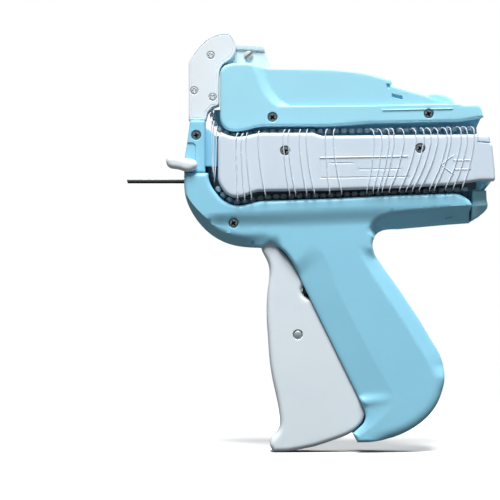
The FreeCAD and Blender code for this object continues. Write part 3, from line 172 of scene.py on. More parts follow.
def filled(points: Array, pitch: float, closed: bool) -> Array:
    """A line with points added so that none are further apart than the pitch; corners stay."""
    ring = np.concatenate([points, points[:1]]) if closed else points
    run = steps_along(ring)
    parts = np.maximum(1, np.ceil(np.diff(run) / pitch).astype(int))
    share = np.concatenate([np.arange(n) / n for n in parts])
    base = np.repeat(run[:-1], parts) + share * np.repeat(np.diff(run), parts)
    if not closed:
        base = np.append(base, run[-1])
    return np.stack([np.interp(base, run, ring[:, 0]), np.interp(base, run, ring[:, 1])], axis=1)


def distance(points: Array, line: Array, closed: bool = False) -> Array:
    """Distance from each point to the nearest place on a line of straight pieces."""
    ring = np.concatenate([line, line[:1]]) if closed else line
    start = ring[:-1]
    along = np.diff(ring, axis=0)
    square = np.maximum(np.sum(along * along, axis=1), 1e-12)
    result = np.empty(len(points))
    for low in range(0, len(points), CHUNK):
        part = points[low:low + CHUNK, None, :]
        share = np.clip(np.sum((part - start) * along, axis=2) / square, 0, 1)
        gap = part - start - share[..., None] * along
        result[low:low + CHUNK] = np.sqrt(np.min(np.sum(gap * gap, axis=2), axis=1))
    return result


def inside(points: Array, ring: Array) -> Array:
    """True for each point inside a closed outline, counted by crossings of a ray along +X."""
    start = ring
    end = np.roll(ring, -1, axis=0)
    rise = np.where(np.abs(end[:, 1] - start[:, 1]) < 1e-12, 1e-12, end[:, 1] - start[:, 1])
    result = np.empty(len(points), bool)
    for low in range(0, len(points), CHUNK):
        x = points[low:low + CHUNK, 0][:, None]
        z = points[low:low + CHUNK, 1][:, None]
        spans = (start[:, 1] > z) != (end[:, 1] > z)
        meets = x < start[:, 0] + (z - start[:, 1]) * (end[:, 0] - start[:, 0]) / rise
        result[low:low + CHUNK] = np.sum(spans & meets, axis=1) % 2 == 1
    return result


def beside(line: Array, offsets: Sequence[float], closed: bool = False) -> Array:
    """Points beside a line at each distance, on both sides."""
    if closed:
        along = np.roll(line, -1, axis=0) - np.roll(line, 1, axis=0)
    else:
        along = np.gradient(line, axis=0)
    side = np.stack([-along[:, 1], along[:, 0]], axis=1)
    side /= np.maximum(np.linalg.norm(side, axis=1), TINY)[:, None]
    shifts = np.concatenate([offsets, np.negative(offsets)])
    return (line[None] + shifts[:, None, None] * side[None]).reshape(-1, 2)


def way_across(points: Array, near: Array, far: Array) -> Array:
    """Share of the way from the near line to the far one, at each point."""
    to_near = distance(points, near)
    return to_near / np.maximum(to_near + distance(points, far), TINY)


class Relief:
    """Something that stands out of a face or is sunk into it."""

    def depth(self, points: Array) -> Array:
        """How deep each point lies under the face."""
        raise NotImplementedError

    def places(self) -> Array:
        """Points that the face needs for it."""
        return np.empty((0, 2))


@dataclass
class Roll(Relief):
    """Wider rounding along part of an outline: a quarter ellipse from the line inwards."""

    line: Array
    radius: float
    drop: float

    def depth(self, points: Array) -> Array:
        """Drop less the ellipse's height at the distance from the line, fading at the line's ends."""
        share = np.clip(1 - distance(points, self.line) / self.radius, 0, 1)
        ends = np.minimum(np.linalg.norm(points - self.line[0], axis=1),
                          np.linalg.norm(points - self.line[-1], axis=1))
        fade = np.clip((ends - self.radius) / (2 * self.radius), 0, 1)
        return self.drop * (1 - np.sqrt(1 - share * share)) * fade

    def places(self) -> Array:
        """Rings at even steps of the ellipse's angle."""
        turn = np.linspace(0, math.pi / 2, 7)[1:]
        return beside(filled(self.line, 1.0, False), self.radius * (1 - np.cos(turn)))


@dataclass
class Ramp(Relief):
    """Slope between two lines, which the face is cut down to: as deep as its start at the near line,
    as its drop at the far one, and as deep as that beyond it."""

    near: Array
    far: Array
    drop: float
    beyond: Array
    start: float = 0.0
    soft: bool = False
    fades: Tuple[float, float] = (0.0, 0.0)   # lengths over which its two ends run out
    crisp: float = 0.0                        # by how much it takes the rim's rounding away

    def share(self, points: Array) -> Array:
        """Share of the way from the near line, 1 beyond the far one, eased where the slope is soft
        and run out to nothing at its ends; -1 where a point lies outside."""
        share = way_across(points, self.near, self.far)
        if self.soft:
            share = share * share * (3 - 2 * share)
        past = inside(points, np.concatenate([self.far, self.beyond]))
        share = np.where(past, 1.0, share)
        sides = (np.stack([self.near[0], self.far[0], self.beyond[-1]]),
                 np.stack([self.near[-1], self.far[-1], self.beyond[0]]))
        for side, fade in zip(sides, self.fades):
            if fade:
                run = np.clip(distance(points, side) / fade, 0, 1)
                share = share * run * run * (3 - 2 * run)
        within = past | inside(points, np.concatenate([self.near, self.far[::-1]]))
        return np.where(within, share, -1.0)

    def depth(self, points: Array) -> Array:
        """Start plus the share of what is left to the drop, and nothing outside."""
        share = self.share(points)
        return np.where(share < 0, 0.0, self.start + (self.drop - self.start) * share)

    def places(self) -> Array:
        """Points on both lines."""
        return np.concatenate([filled(self.near, 0.8, False), filled(self.far, 0.8, False)])


@dataclass
class Recess(Relief):
    """Sunk panel with a broad slope on one side and a steep sill on another."""

    near: Array
    far: Array
    sill: Array
    ring: Array
    drop: float
    wall: float = 0.6

    def depth(self, points: Array) -> Array:
        """Drop times the lesser of the slope's share and the share of the sill's wall."""
        beyond = inside(points, np.concatenate([self.far, self.ring]))
        share = np.where(beyond, 1.0, way_across(points, self.near, self.far))
        step = np.clip(distance(points, self.sill) / self.wall, 0, 1)
        within = inside(points, np.concatenate([self.near, self.ring]))
        return np.where(within, self.drop * np.minimum(share, step), 0.0)

    def places(self) -> Array:
        """Points on the slope's two lines, on the sill and at the foot of its wall."""
        sill = filled(self.sill, 0.7, False)
        return np.concatenate([filled(self.near, 0.6, False), filled(self.far, 0.6, False), sill,
                               beside(sill, [self.wall])])


@dataclass
class Well(Relief):
    """Round sunk hole, with a small lip, that a screw sits in."""

    centre: Array
    radius: float
    drop: float
    lip: float = 0.3

    def depth(self, points: Array) -> Array:
        """Full drop inside the radius, and a slanting lip round it."""
        gap = np.linalg.norm(points - self.centre, axis=1) - self.radius
        lip = self.lip * np.clip(1 - gap / self.lip, 0, 1)
        return np.where(gap < -1e-6, self.drop, np.where(gap < self.lip, lip, 0.0))

    def places(self) -> Array:
        """Rings at the lip's two edges, just inside the wall and on the floor."""
        turn = around(32)
        way = np.stack([np.cos(turn), np.sin(turn)], axis=1)
        radii = (self.radius + self.lip, self.radius + self.lip / 2, self.radius,
                 self.radius - 0.04, self.radius * 0.6)
        return np.concatenate([self.centre + way * radius for radius in radii])


def screw_wells(places: Places, drop: float = WELL_DROP) -> List[Relief]:
    """Wells of the casing's and the cover's screws."""
    return [Well(centre, WELL_RADIUS, drop) for centre in at(places)]


@dataclass
class Line(Relief):
    """Moulded line: a rounded rib, or a groove where its height is negative."""

    line: Array
    width: float
    height: float

    def depth(self, points: Array) -> Array:
        """Height times the square of the cosine of the share of the half-width."""
        share = np.clip(distance(points, self.line) / (self.width / 2), 0, 1)
        return -self.height * np.cos(share * math.pi / 2) ** 2

    def places(self) -> Array:
        """Rows on the line and beside it."""
        line = filled(self.line, FINE_PITCH * 1.5, False)
        return np.concatenate([line, beside(line, self.width * np.array([0.17, 0.34, 0.5, 0.62]))])


@dataclass
class Patch(Relief):
    """Part of a face that lies at another level, with a steep wall round it."""

    ring: Array
    drop: float
    wall: float = 0.12

    def depth(self, points: Array) -> Array:
        """Full drop inside the ring, reached over the wall's width."""
        gap = distance(points, self.ring, closed=True)
        return np.where(inside(points, self.ring), self.drop * np.clip(gap / self.wall, 0, 1), 0.0)

    def places(self) -> Array:
        """Rows on the ring and at the foot of its wall."""
        ring = filled(self.ring, 0.6, True)
        return np.concatenate([ring, beside(ring, [self.wall * 1.05], closed=True)])


class Side(Enum):
    """Side of the middle plane that a face looks to."""

    LEFT = -1
    RIGHT = 1


@dataclass
class Moulding:
    """Moulded piece with a face on one side, a rounded rim and walls back to a joint line."""

    ring: Array
    face: float
    back: float
    rim: float
    side: Side = Side.LEFT
    reliefs: List[Relief] = field(default_factory=list)
    seam: float = 0.18
    capped: bool = True
    shell: float = 0.0
    mirrored: bool = False
    windows: List[Tuple[Array, float]] = field(default_factory=list)
    least_wall: float = 0.5

    def depth(self, points: Array) -> Array:
        """Depth under the face: the rim's quarter round, the deepest slope and the rest, added up.

        The rim's depth is its radius less the height of a quarter circle at the distance from the
        outline, less what crisp slopes take away. Of the slopes, and of the rim and rolls, the
        deepest counts at each point; wells and lines are added to it.
        """
        share = np.clip(1 - distance(points, self.ring, closed=True) / self.rim, 0, 1)
        edge = self.rim * (1 - np.sqrt(1 - share * share))
        slope = np.zeros(len(points))
        rest = np.zeros(len(points))
        for relief in self.reliefs:
            if isinstance(relief, Ramp):
                slope = np.maximum(slope, relief.depth(points))
                edge = edge * (1 - relief.crisp * np.clip(relief.share(points), 0, 1))
            elif not isinstance(relief, Roll):
                rest += relief.depth(points)
        for relief in self.reliefs:
            if isinstance(relief, Roll):
                edge = np.maximum(edge, relief.depth(points))
        return edge + slope + rest

    def face_points(self, ring: Array) -> Array:
        """Points inside the outline: rim rings, those of the reliefs, and an open grid between."""
        turn = np.linspace(0, math.pi / 2, 6)[1:]
        insets = self.rim * (1 - np.cos(turn))
        rim = np.concatenate([beside(ring, [inset], closed=True) for inset in insets])
        gap = distance(rim, ring, closed=True)
        wanted = np.repeat(insets, 2 * len(ring))
        rim = rim[inside(rim, ring) & (gap > 0.9 * wanted) & (gap > 0.02)]
        extra = [relief.places() for relief in self.reliefs]
        extra = np.concatenate(extra) if extra else np.empty((0, 2))
        if len(extra):
            extra = extra[inside(extra, ring) & (distance(extra, ring, closed=True) > 0.05)]
        low = ring.min(axis=0)
        high = ring.max(axis=0)
        across = np.arange(low[0], high[0], GRID_PITCH)
        up = np.arange(low[1], high[1], GRID_PITCH)
        grid = np.stack(np.meshgrid(across, up), axis=-1).reshape(-1, 2)
        grid[:, 0] += np.where(np.round((grid[:, 1] - low[1]) / GRID_PITCH) % 2, GRID_PITCH / 2, 0)
        grid = grid[inside(grid, ring)]
        grid = grid[distance(grid, ring, closed=True) > max(self.rim, 0.5)]
        points = np.concatenate([rim, extra, grid])
        _, first = np.unique(np.round(points / POINT_GRID).astype(int), axis=0, return_index=True)
        return points[np.sort(first)]

    def wall_ends(self, ring: Array) -> Array:
        """Y at which the wall ends, at each point of the outline, always behind the face's edge."""
        ends = np.full(len(ring), self.back)
        for window, level in self.windows:
            ends = np.where(inside(ring, window), level, ends)
        toward = -self.side.value
        edge = self.face + toward * (self.depth(ring) + self.least_wall)
        return toward * np.maximum(toward * ends, toward * edge)

    def build(self, name: str) -> Piece:
        """Makes the mesh: face, walls and back.

        The face is a net of triangles over points of the outline, the rim's rings, the reliefs and
        an open grid, and each point's Y is the face's plus its depth. The wall runs from the
        outline to the joint line, where it turns in by a small chamfer.

        Args:
            name: name of the object.

        Returns:
            The object, at the origin.
        """
        ring = filled(self.ring, SMOOTH_PITCH, True)
        count = len(ring)
        points = np.concatenate([ring, self.face_points(ring)])
        loop = [(i, (i + 1) % count) for i in range(count)]
        flat, _, faces, _, _, _ = geometry.delaunay_2d_cdt(
            [Vector(point) for point in points], loop, [], 1, 1e-4)
        flat = np.array([tuple(place) for place in flat])
        toward = -self.side.value
        y = self.face + toward * self.depth(flat)
        front = np.stack([flat[:, 0], y, flat[:, 1]], axis=1)
        near = np.argmin(np.sum((flat[:40 + count, None] - ring[None]) ** 2, axis=2), axis=0)
        ends = self.wall_ends(ring)
        step = toward * self.seam
        inner = ring - self.seam * self.normals(ring)
        rows = [np.stack([ring[:, 0], ends - step, ring[:, 1]], axis=1),
                np.stack([inner[:, 0], ends, inner[:, 1]], axis=1)]
        base = len(front)
        index = [near, base + np.arange(count), base + count + np.arange(count)]
        quads = []
        for upper, lower in zip(index[:-1], index[1:]):
            quads.append(np.stack([np.roll(upper, -1), upper, lower, np.roll(lower, -1)], axis=1))
        all_faces = [list(face) for face in faces] + np.concatenate(quads).tolist()
        if self.capped:
            all_faces.append(list(range(base + 2 * count - 1, base + count - 1, -1)))
        if self.side is Side.RIGHT:
            all_faces = [face[::-1] for face in all_faces]
        body = np.concatenate([front] + rows)
        if self.mirrored:
            twin = body * (1, -1, 1) + (0, 2 * self.back, 0)
            body, all_faces = joined([(body, all_faces), (twin, [f[::-1] for f in all_faces])])
        piece = new_piece(name, body, all_faces, merge=self.mirrored)
        if self.shell:
            wall = piece.modifiers.new("wall", "SOLIDIFY")
            wall.thickness = self.shell * MM
            wall.offset = -1
        return piece

    @staticmethod
    def normals(ring: Array) -> Array:
        """Unit outward normals at the points of an anticlockwise outline."""
        along = np.roll(ring, -1, axis=0) - np.roll(ring, 1, axis=0)
        side = np.stack([along[:, 1], -along[:, 0]], axis=1)
        return side / np.maximum(np.linalg.norm(side, axis=1), TINY)[:, None]


def twofold(ring: Array, face: float, back: float, rim: float, **rest: object) -> Moulding:
    """Moulding with its mirror image beyond the joint line, and nothing between the two."""
    return Moulding(ring, face, back, rim, mirrored=True, seam=0.0, capped=False, **rest)


def new_piece(name: str, points: Array, faces: Sequence[Sequence[int]], merge: bool = False) -> Piece:
    """Object from points in millimetres and faces, smooth except at sharp edges."""
    mesh = bpy.data.meshes.new(name)
    mesh.from_pydata((points * MM).tolist(), [], [list(face) for face in faces])
    mesh.validate()
    if merge:
        shape = bmesh.new()
        shape.from_mesh(mesh)
        bmesh.ops.remove_doubles(shape, verts=shape.verts, dist=WELD_GAP * MM)
        shape.to_mesh(mesh)
        shape.free()
    mesh.update()
    mesh.polygons.foreach_set("use_smooth", [True] * len(mesh.polygons))
    mesh.set_sharp_from_angle(angle=SHARP_ANGLE)
    piece = bpy.data.objects.new(name, mesh)
    bpy.context.scene.collection.objects.link(piece)
    return piece


def frames_along(path: Array, guide: Array) -> Tuple[Array, Array]:
    """Two unit vectors across a path at each of its points: the part of the guide that lies across
    the path, and the one square to both."""
    along = np.gradient(path, axis=0)
    along /= np.linalg.norm(along, axis=1)[:, None]
    first = guide - along * np.sum(along * guide, axis=1)[:, None]
    first /= np.linalg.norm(first, axis=1)[:, None]
    return first, np.cross(along, first)


def ring_faces(count: int, sides: int, flipped: bool = False) -> List[List[int]]:
    """Faces over rings of points that follow each other, with both ends closed.

    Args:
        count: number of rings.
        sides: number of points in each.
        flipped: whether the faces look to the other side.

    Returns:
        The faces.
    """
    low = np.arange(sides)
    rows = (np.arange(count - 1) * sides)[:, None]
    after = np.roll(low, -1)
    corners = [rows + low, rows + after, rows + sides + after, rows + sides + low]
    first, last = list(range(sides)), list(range((count - 1) * sides, count * sides))
    if flipped:
        corners = [corners[k] for k in (0, 3, 2, 1)]
        ends = [first, last[::-1]]
    else:
        ends = [first[::-1], last]
    return np.stack(corners, axis=-1).reshape(-1, 4).tolist() + ends


def carried(path: Array, radius: Array, sides: int, guide: Array) -> Mesh:
    """Round profile carried along a path: each ring is the path's point plus the radius times the
    cosine and sine of even angles in the plane across the path. The two ends are closed.

    Args:
        path: points of the path.
        radius: radius at each point.
        sides: number of sides of the profile.
        guide: direction across the path that the angles start from, one or one for each point.

    Returns:
        Points and faces.
    """
    first, second = frames_along(path, guide)
    turn = around(sides)
    rings = (path[:, None] + radius[:, None, None]
             * (np.cos(turn)[None, :, None] * first[:, None]
                + np.sin(turn)[None, :, None] * second[:, None]))
    return rings.reshape(-1, 3), ring_faces(len(path), sides)


def joined(parts: Sequence[Mesh]) -> Mesh:
    """Several meshes as one set of points and faces."""
    points: List[Array] = []
    faces: List[List[int]] = []
    base = 0
    for part, part_faces in parts:
        points.append(part)
        faces.extend([[index + base for index in face] for face in part_faces])
        base += len(part)
    return np.concatenate(points), faces


def turned(profile: Places, centre: Array, sides: int = 32) -> Mesh:
    """Profile of (radius, Y) places turned about the Y axis through a centre, closed at its ends."""
    shape = np.asarray(profile, float)
    turn = around(sides)
    x = centre[0] + shape[:, 0][:, None] * np.cos(turn)
    z = centre[1] + shape[:, 0][:, None] * np.sin(turn)
    y = np.repeat(shape[:, 1][:, None], sides, axis=1)
    points = np.stack([x, y, z], axis=-1).reshape(-1, 3)
    return points, ring_faces(len(shape), sides, flipped=True)


def linear(hex_colour: str) -> Colour:
    """sRGB hex colour as linear red, green, blue and alpha."""
    values = [int(hex_colour[i:i + 2], 16) / 255 for i in (1, 3, 5)]
    red, green, blue = [v / 12.92 if v <= 0.04045 else ((v + 0.055) / 1.055) ** 2.4 for v in values]
    return red, green, blue, 1.0


def feed(tree: Tree, node: Node, links: Dict[str, Socket] = {}, **sockets: object) -> None:
    """Gives a node's inputs their links and values, named as add_node says."""
    for key, value in sockets.items():
        node.inputs[key.replace("_", " ")].default_value = value
    for key, output in links.items():
        tree.links.new(output, node.inputs[int(key) if key.isdigit() else key])


def add_node(tree: Tree, kind: str, settings: Dict[str, object] = {},
             links: Dict[str, Socket] = {}, **sockets: object) -> Node:
    """Adds a shader node.

    Args:
        tree: node tree that gets it.
        kind: Blender's type name of the node.
        settings: its attributes.
        links: input socket name to the output that feeds it.
        sockets: input socket name, spaces as underscores, to a value.

    Returns:
        The node.
    """
    node = tree.nodes.new(kind)
    for key, value in settings.items():
        setattr(node, key, value)
    feed(tree, node, links, **sockets)
    return node


def noise(tree: Tree, spot: Socket, size_mm: float, detail: float = 3.0) -> Socket:
    """Value of a noise whose marks are about a size in millimetres."""
    return add_node(tree, "ShaderNodeTexNoise", {}, {"Vector": spot}, Scale=1 / (size_mm * MM),
                    Detail=detail).outputs["Fac"]


def between(tree: Tree, share: Socket, low: Colour, high: Colour) -> Socket:
    """Colour between two, by a share."""
    mix = add_node(tree, "ShaderNodeMix", {"data_type": "RGBA"}, {"0": share})
    mix.inputs[6].default_value = low
    mix.inputs[7].default_value = high
    return mix.outputs[2]


def spread(tree: Tree, share: Socket, shader: Node, low: float, high: float) -> None:
    """Roughness between two values, by a share."""
    gloss = add_node(tree, "ShaderNodeMapRange", {}, {"Value": share}, To_Min=low, To_Max=high)
    feed(tree, shader, {"Roughness": gloss.outputs["Result"]})


def raised(tree: Tree, height: Socket, shader: Node, strength: float, depth_mm: float) -> None:
    """Bump of a depth in millimetres from a height."""
    bump = add_node(tree, "ShaderNodeBump", {}, {"Height": height}, Strength=strength,
                    Distance=depth_mm * MM)
    feed(tree, shader, {"Normal": bump.outputs["Normal"]})


@dataclass(frozen=True)
class Finish:
    """Base of the finishes: a material made once under its name."""

    name: str
    slot: str           # record slot of the pieces dressed in it, empty where only kept nodes are

    def material(self) -> bpy.types.Material:
        """The finish's material, made at its first use."""
        found = bpy.data.materials.get(self.name)
        if found:
            return found
        made = bpy.data.materials.new(self.name)
        made.use_nodes = True
        tree = made.node_tree
        self.fill(tree, tree.nodes["Principled BSDF"])
        return made

    def fill(self, tree: Tree, shader: Node) -> None:
        """Adds the finish's nodes."""
        raise NotImplementedError


@dataclass(frozen=True)
class MouldedAbs(Finish):
    """Injection-moulded ABS: even colour, a satin skin with a very fine spark-eroded grain."""

    colour: str
    roughness: float = 0.36
    drift_mm: float = 22        # marks of the colour's drift
    flow_mm: float = 6          # marks of the gloss, from the plastic's flow
    grain_mm: float = 0.45      # the mould's grain, drawn about twice as coarse so that it shows
    grain_depth: float = 0.035
    scatter: float = 0.06
    sheen: float = 0.32         # share of mirror-like light; the grained skin spreads the rest

    def fill(self, tree: Tree, shader: Node) -> None:
        """Colour drifts a little over centimetres, gloss over millimetres, and the grain is bump."""
        spot = add_node(tree, "ShaderNodeTexCoord").outputs["Object"]
        red, green, blue, _ = linear(self.colour)
        shade = between(tree, noise(tree, spot, self.drift_mm, 2.0),
                        (red * 0.93, green * 0.95, blue * 0.965, 1.0),
                        (min(red * 1.04, 1), min(green * 1.03, 1), min(blue * 1.02, 1), 1.0))
        spread(tree, noise(tree, spot, self.flow_mm), shader, self.roughness - 0.05,
               self.roughness + 0.06)
        raised(tree, noise(tree, spot, self.grain_mm, 2.0), shader, 0.5, self.grain_depth)
        feed(tree, shader, {"Base Color": shade}, IOR=1.53, Specular_IOR_Level=self.sheen,
             Subsurface_Weight=self.scatter, Subsurface_Radius=(0.9, 1.0, 1.1),
             Subsurface_Scale=1.2 * MM)


@dataclass(frozen=True)
class WorkedSteel(Finish):
    """Steel drawn, plated or stamped: bright, with fine lines along one axis."""

    colour: str
    roughness: float
    lines_mm: Tuple[float, float, float]   # length of the marks along X, Y and Z
    depth: float = 0.008
    stain_mm: float = 4
    # colour of the painted shade that darkens screw recesses
    painted_shade_colour: str = "#15191B"

    def fill(self, tree: Tree, shader: Node) -> None:
        """Stretched noise gives the drawn lines, in both gloss and bump. Where the piece's recess mask
        attribute is 1, as in a screw's recess, the colour is darkened to a painted shade."""
        spot = add_node(tree, "ShaderNodeTexCoord").outputs["Object"]
        scale = tuple(1 / (length * MM) for length in self.lines_mm)
        stretch = add_node(tree, "ShaderNodeMapping", {}, {"Vector": spot}, Scale=scale)
        lines = add_node(tree, "ShaderNodeTexNoise", {}, {"Vector": stretch.outputs["Vector"]},
                         Scale=1.0, Detail=4.0)
        spread(tree, lines.outputs["Fac"], shader, self.roughness * 0.7, self.roughness * 1.4)
        red, green, blue, _ = linear(self.colour)
        tint = between(tree, noise(tree, spot, self.stain_mm),
                       (red * 0.82, green * 0.82, blue * 0.82, 1.0), (red, green, blue, 1.0))
        # painted shade: where the recess mask is 1, the colour goes to the painted shade colour
        recess_painted_shade = add_node(tree, "ShaderNodeAttribute", {"attribute_name": "recess_painted_shade"})
        recess_shaded = add_node(tree, "ShaderNodeMix", {"data_type": "RGBA"},
                          {"0": recess_painted_shade.outputs["Fac"], "6": tint})
        recess_shaded.inputs[7].default_value = linear(self.painted_shade_colour)
        raised(tree, lines.outputs["Fac"], shader, 0.4, self.depth)
        feed(tree, shader, {"Base Color": recess_shaded.outputs[2]}, Metallic=1.0)


@dataclass(frozen=True)
class ClearNylon(Finish):
    """Drawn or moulded nylon without pigment: cloudy, glossy, lets light through."""

    colour: str
    clear: float
    roughness: float = 0.28
    cloud_mm: float = 3

    def fill(self, tree: Tree, shader: Node) -> None:
        """Cloudiness varies along the piece, as drawn nylon's does."""
        spot = add_node(tree, "ShaderNodeTexCoord").outputs["Object"]
        cloud = noise(tree, spot, self.cloud_mm)
        red, green, blue, _ = linear(self.colour)
        tint = between(tree, cloud, (red * 0.8, green * 0.84, blue * 0.88, 1.0),
                       (red, green, blue, 1.0))
        spread(tree, cloud, shader, self.roughness - 0.06, self.roughness + 0.08)
        feed(tree, shader, {"Base Color": tint}, IOR=1.53, Transmission_Weight=self.clear)


BLUE_ABS = MouldedAbs("sky_blue_moulded_abs", "blue_shell", "#93D3EC")
# Lighter copy of the same blue plastic, as painted light: brightens the upper housing and latch, and the
# tail end in the cover's shadow.
LIGHTER_BLUE_ABS = MouldedAbs("sky_blue_moulded_abs_painted_lighter", "blue_shell", "#A3DEF1")
COVER_ABS = MouldedAbs("cool_white_moulded_abs", "white_shell", "#D3E1EE", 0.3, scatter=0.1)
TRIGGER_ABS = MouldedAbs("white_moulded_abs", "white_shell", "#E0EBF2", 0.34, scatter=0.1)
GUIDE_NYLON = MouldedAbs("white_moulded_nylon", "white_guide", "#E4ECF1", 0.4, scatter=0.16)
# Darker copy of the guide's nylon, as painted shade: tones down the arm's and flange's lit faces.
DARKER_NYLON = MouldedAbs("white_moulded_nylon_painted_darker", "white_guide", "#D3DFE3", 0.4, scatter=0.16)
GREY_ACETAL = MouldedAbs("grey_moulded_acetal", "", "#7F8F94", 0.42)
NEEDLE_STEEL = WorkedSteel("polished_needle_steel", "", "#868B8E", 0.34, (6.0, 0.12, 0.12), 0.003)
ZINC_STEEL = WorkedSteel("zinc_plated_steel", "plated_steel", "#8E9597", 0.34, (0.5, 0.5, 0.5))
BRIGHT_STEEL = WorkedSteel("bright_zinc_steel", "plated_steel", "#D2D8DC", 0.36, (0.5, 0.5, 0.5))
PIN_STEEL = WorkedSteel("dull_pin_steel", "plated_steel", "#A9B2B4", 0.45, (0.4, 0.4, 0.4))
STAMPED_STEEL = WorkedSteel("stamped_steel", "", "#8A8F92", 0.38, (3.0, 0.3, 0.3))
SPRING_WIRE = WorkedSteel("passivated_spring_wire", "spring_brass", "#C99B4A", 0.28, (0.3, 0.3, 0.3))
RAIL_NYLON = ClearNylon("smoky_clip_rail", "clip_rail", "#ECF7FC", 0.0, 0.3)
THREAD_NYLON = ClearNylon("drawn_nylon_thread", "clip_thread", "#F4FAFF", 0.15, 0.25)


def dress(piece: Piece, finish: Finish, *nodes: str, body: str = "housing") -> None:
    """Gives a piece its finish, its body, and hides the CAD nodes that it stands for."""
    piece.data.materials.clear()
    piece.data.materials.append(finish.material())
    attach(piece, body)
    if nodes:
        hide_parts(*nodes)
    LOG.info("%s: %d faces on %s", piece.name, len(piece.data.polygons), body)


@dataclass
class Screws:
    """Recessed cross-head screws."""

    head_radius: float = 1.75
    head_height: float = 1.3
    cross_width: float = 0.7
    cross_span: float = 2.3
    cross_depth: float = 0.9
    # recess masks of the heads made so far, for the painted shade in the recesses
    recess_painted_shade: List[Array] = field(default_factory=list)

    def head(self, place: Place, face: float, slotted: bool = False,
             turn: float = 20.0, radius: float = 0.0) -> Mesh:
        """Head with its recess cut into a round grid.

        The height over a grid of radius and angle is the dome's, less the recess's depth where a
        point lies within half a slot's width of one of its axes.
        """
        radius = radius or self.head_radius
        rings = np.concatenate([np.linspace(0.02, 0.97, 26), [1.0]])
        angle = around(72)
        r, a = np.meshgrid(rings * radius, angle, indexing="ij")
        x, z = r * np.cos(a), r * np.sin(a)
        tilt = math.radians(turn)
        u = x * math.cos(tilt) + z * math.sin(tilt)
        v = -x * math.sin(tilt) + z * math.cos(tilt)
        half = self.cross_width / 2
        reach = radius * 1.1 if slotted else self.cross_span / 2
        first = np.clip((half - np.abs(v)) / 0.08 + 0.5, 0, 1) * (np.abs(u) < reach)
        second = np.clip((half - np.abs(u)) / 0.08 + 0.5, 0, 1) * (np.abs(v) < reach)
        cut = first if slotted else np.maximum(first, second)
        taper = 1 if slotted else np.clip(1.25 - np.hypot(u, v) / reach, 0.2, 1)
        dome = 0.18 * (r / radius) ** 2
        y = face + dome + self.cross_depth * cut * taper
        centre = at([place])[0]
        top = np.stack([centre[0] + x, y, centre[1] + z], axis=-1).reshape(-1, 3)
        sides = len(angle)
        rim = top[-sides:].copy()
        rim[:, 1] = face + self.head_height
        # the recess mask, which the steel finish turns into painted shade; none on the rim
        self.recess_painted_shade.append(np.concatenate([cut.ravel(), np.zeros(sides)]))
        return np.concatenate([top, rim]), ring_faces(len(rings) + 1, sides, flipped=True)

    def piece(self, name: str, heads: Sequence[Mesh]) -> Piece:
        """One object of the heads made since the last piece, with painted shade in their recesses."""
        made = new_piece(name, *joined(heads))
        values = np.concatenate(self.recess_painted_shade)
        # stores the recess mask as the attribute that paints shade into the recesses
        made.data.attributes.new("recess_painted_shade", "FLOAT", "POINT").data.foreach_set("value", values)
        self.recess_painted_shade.clear()
        return made


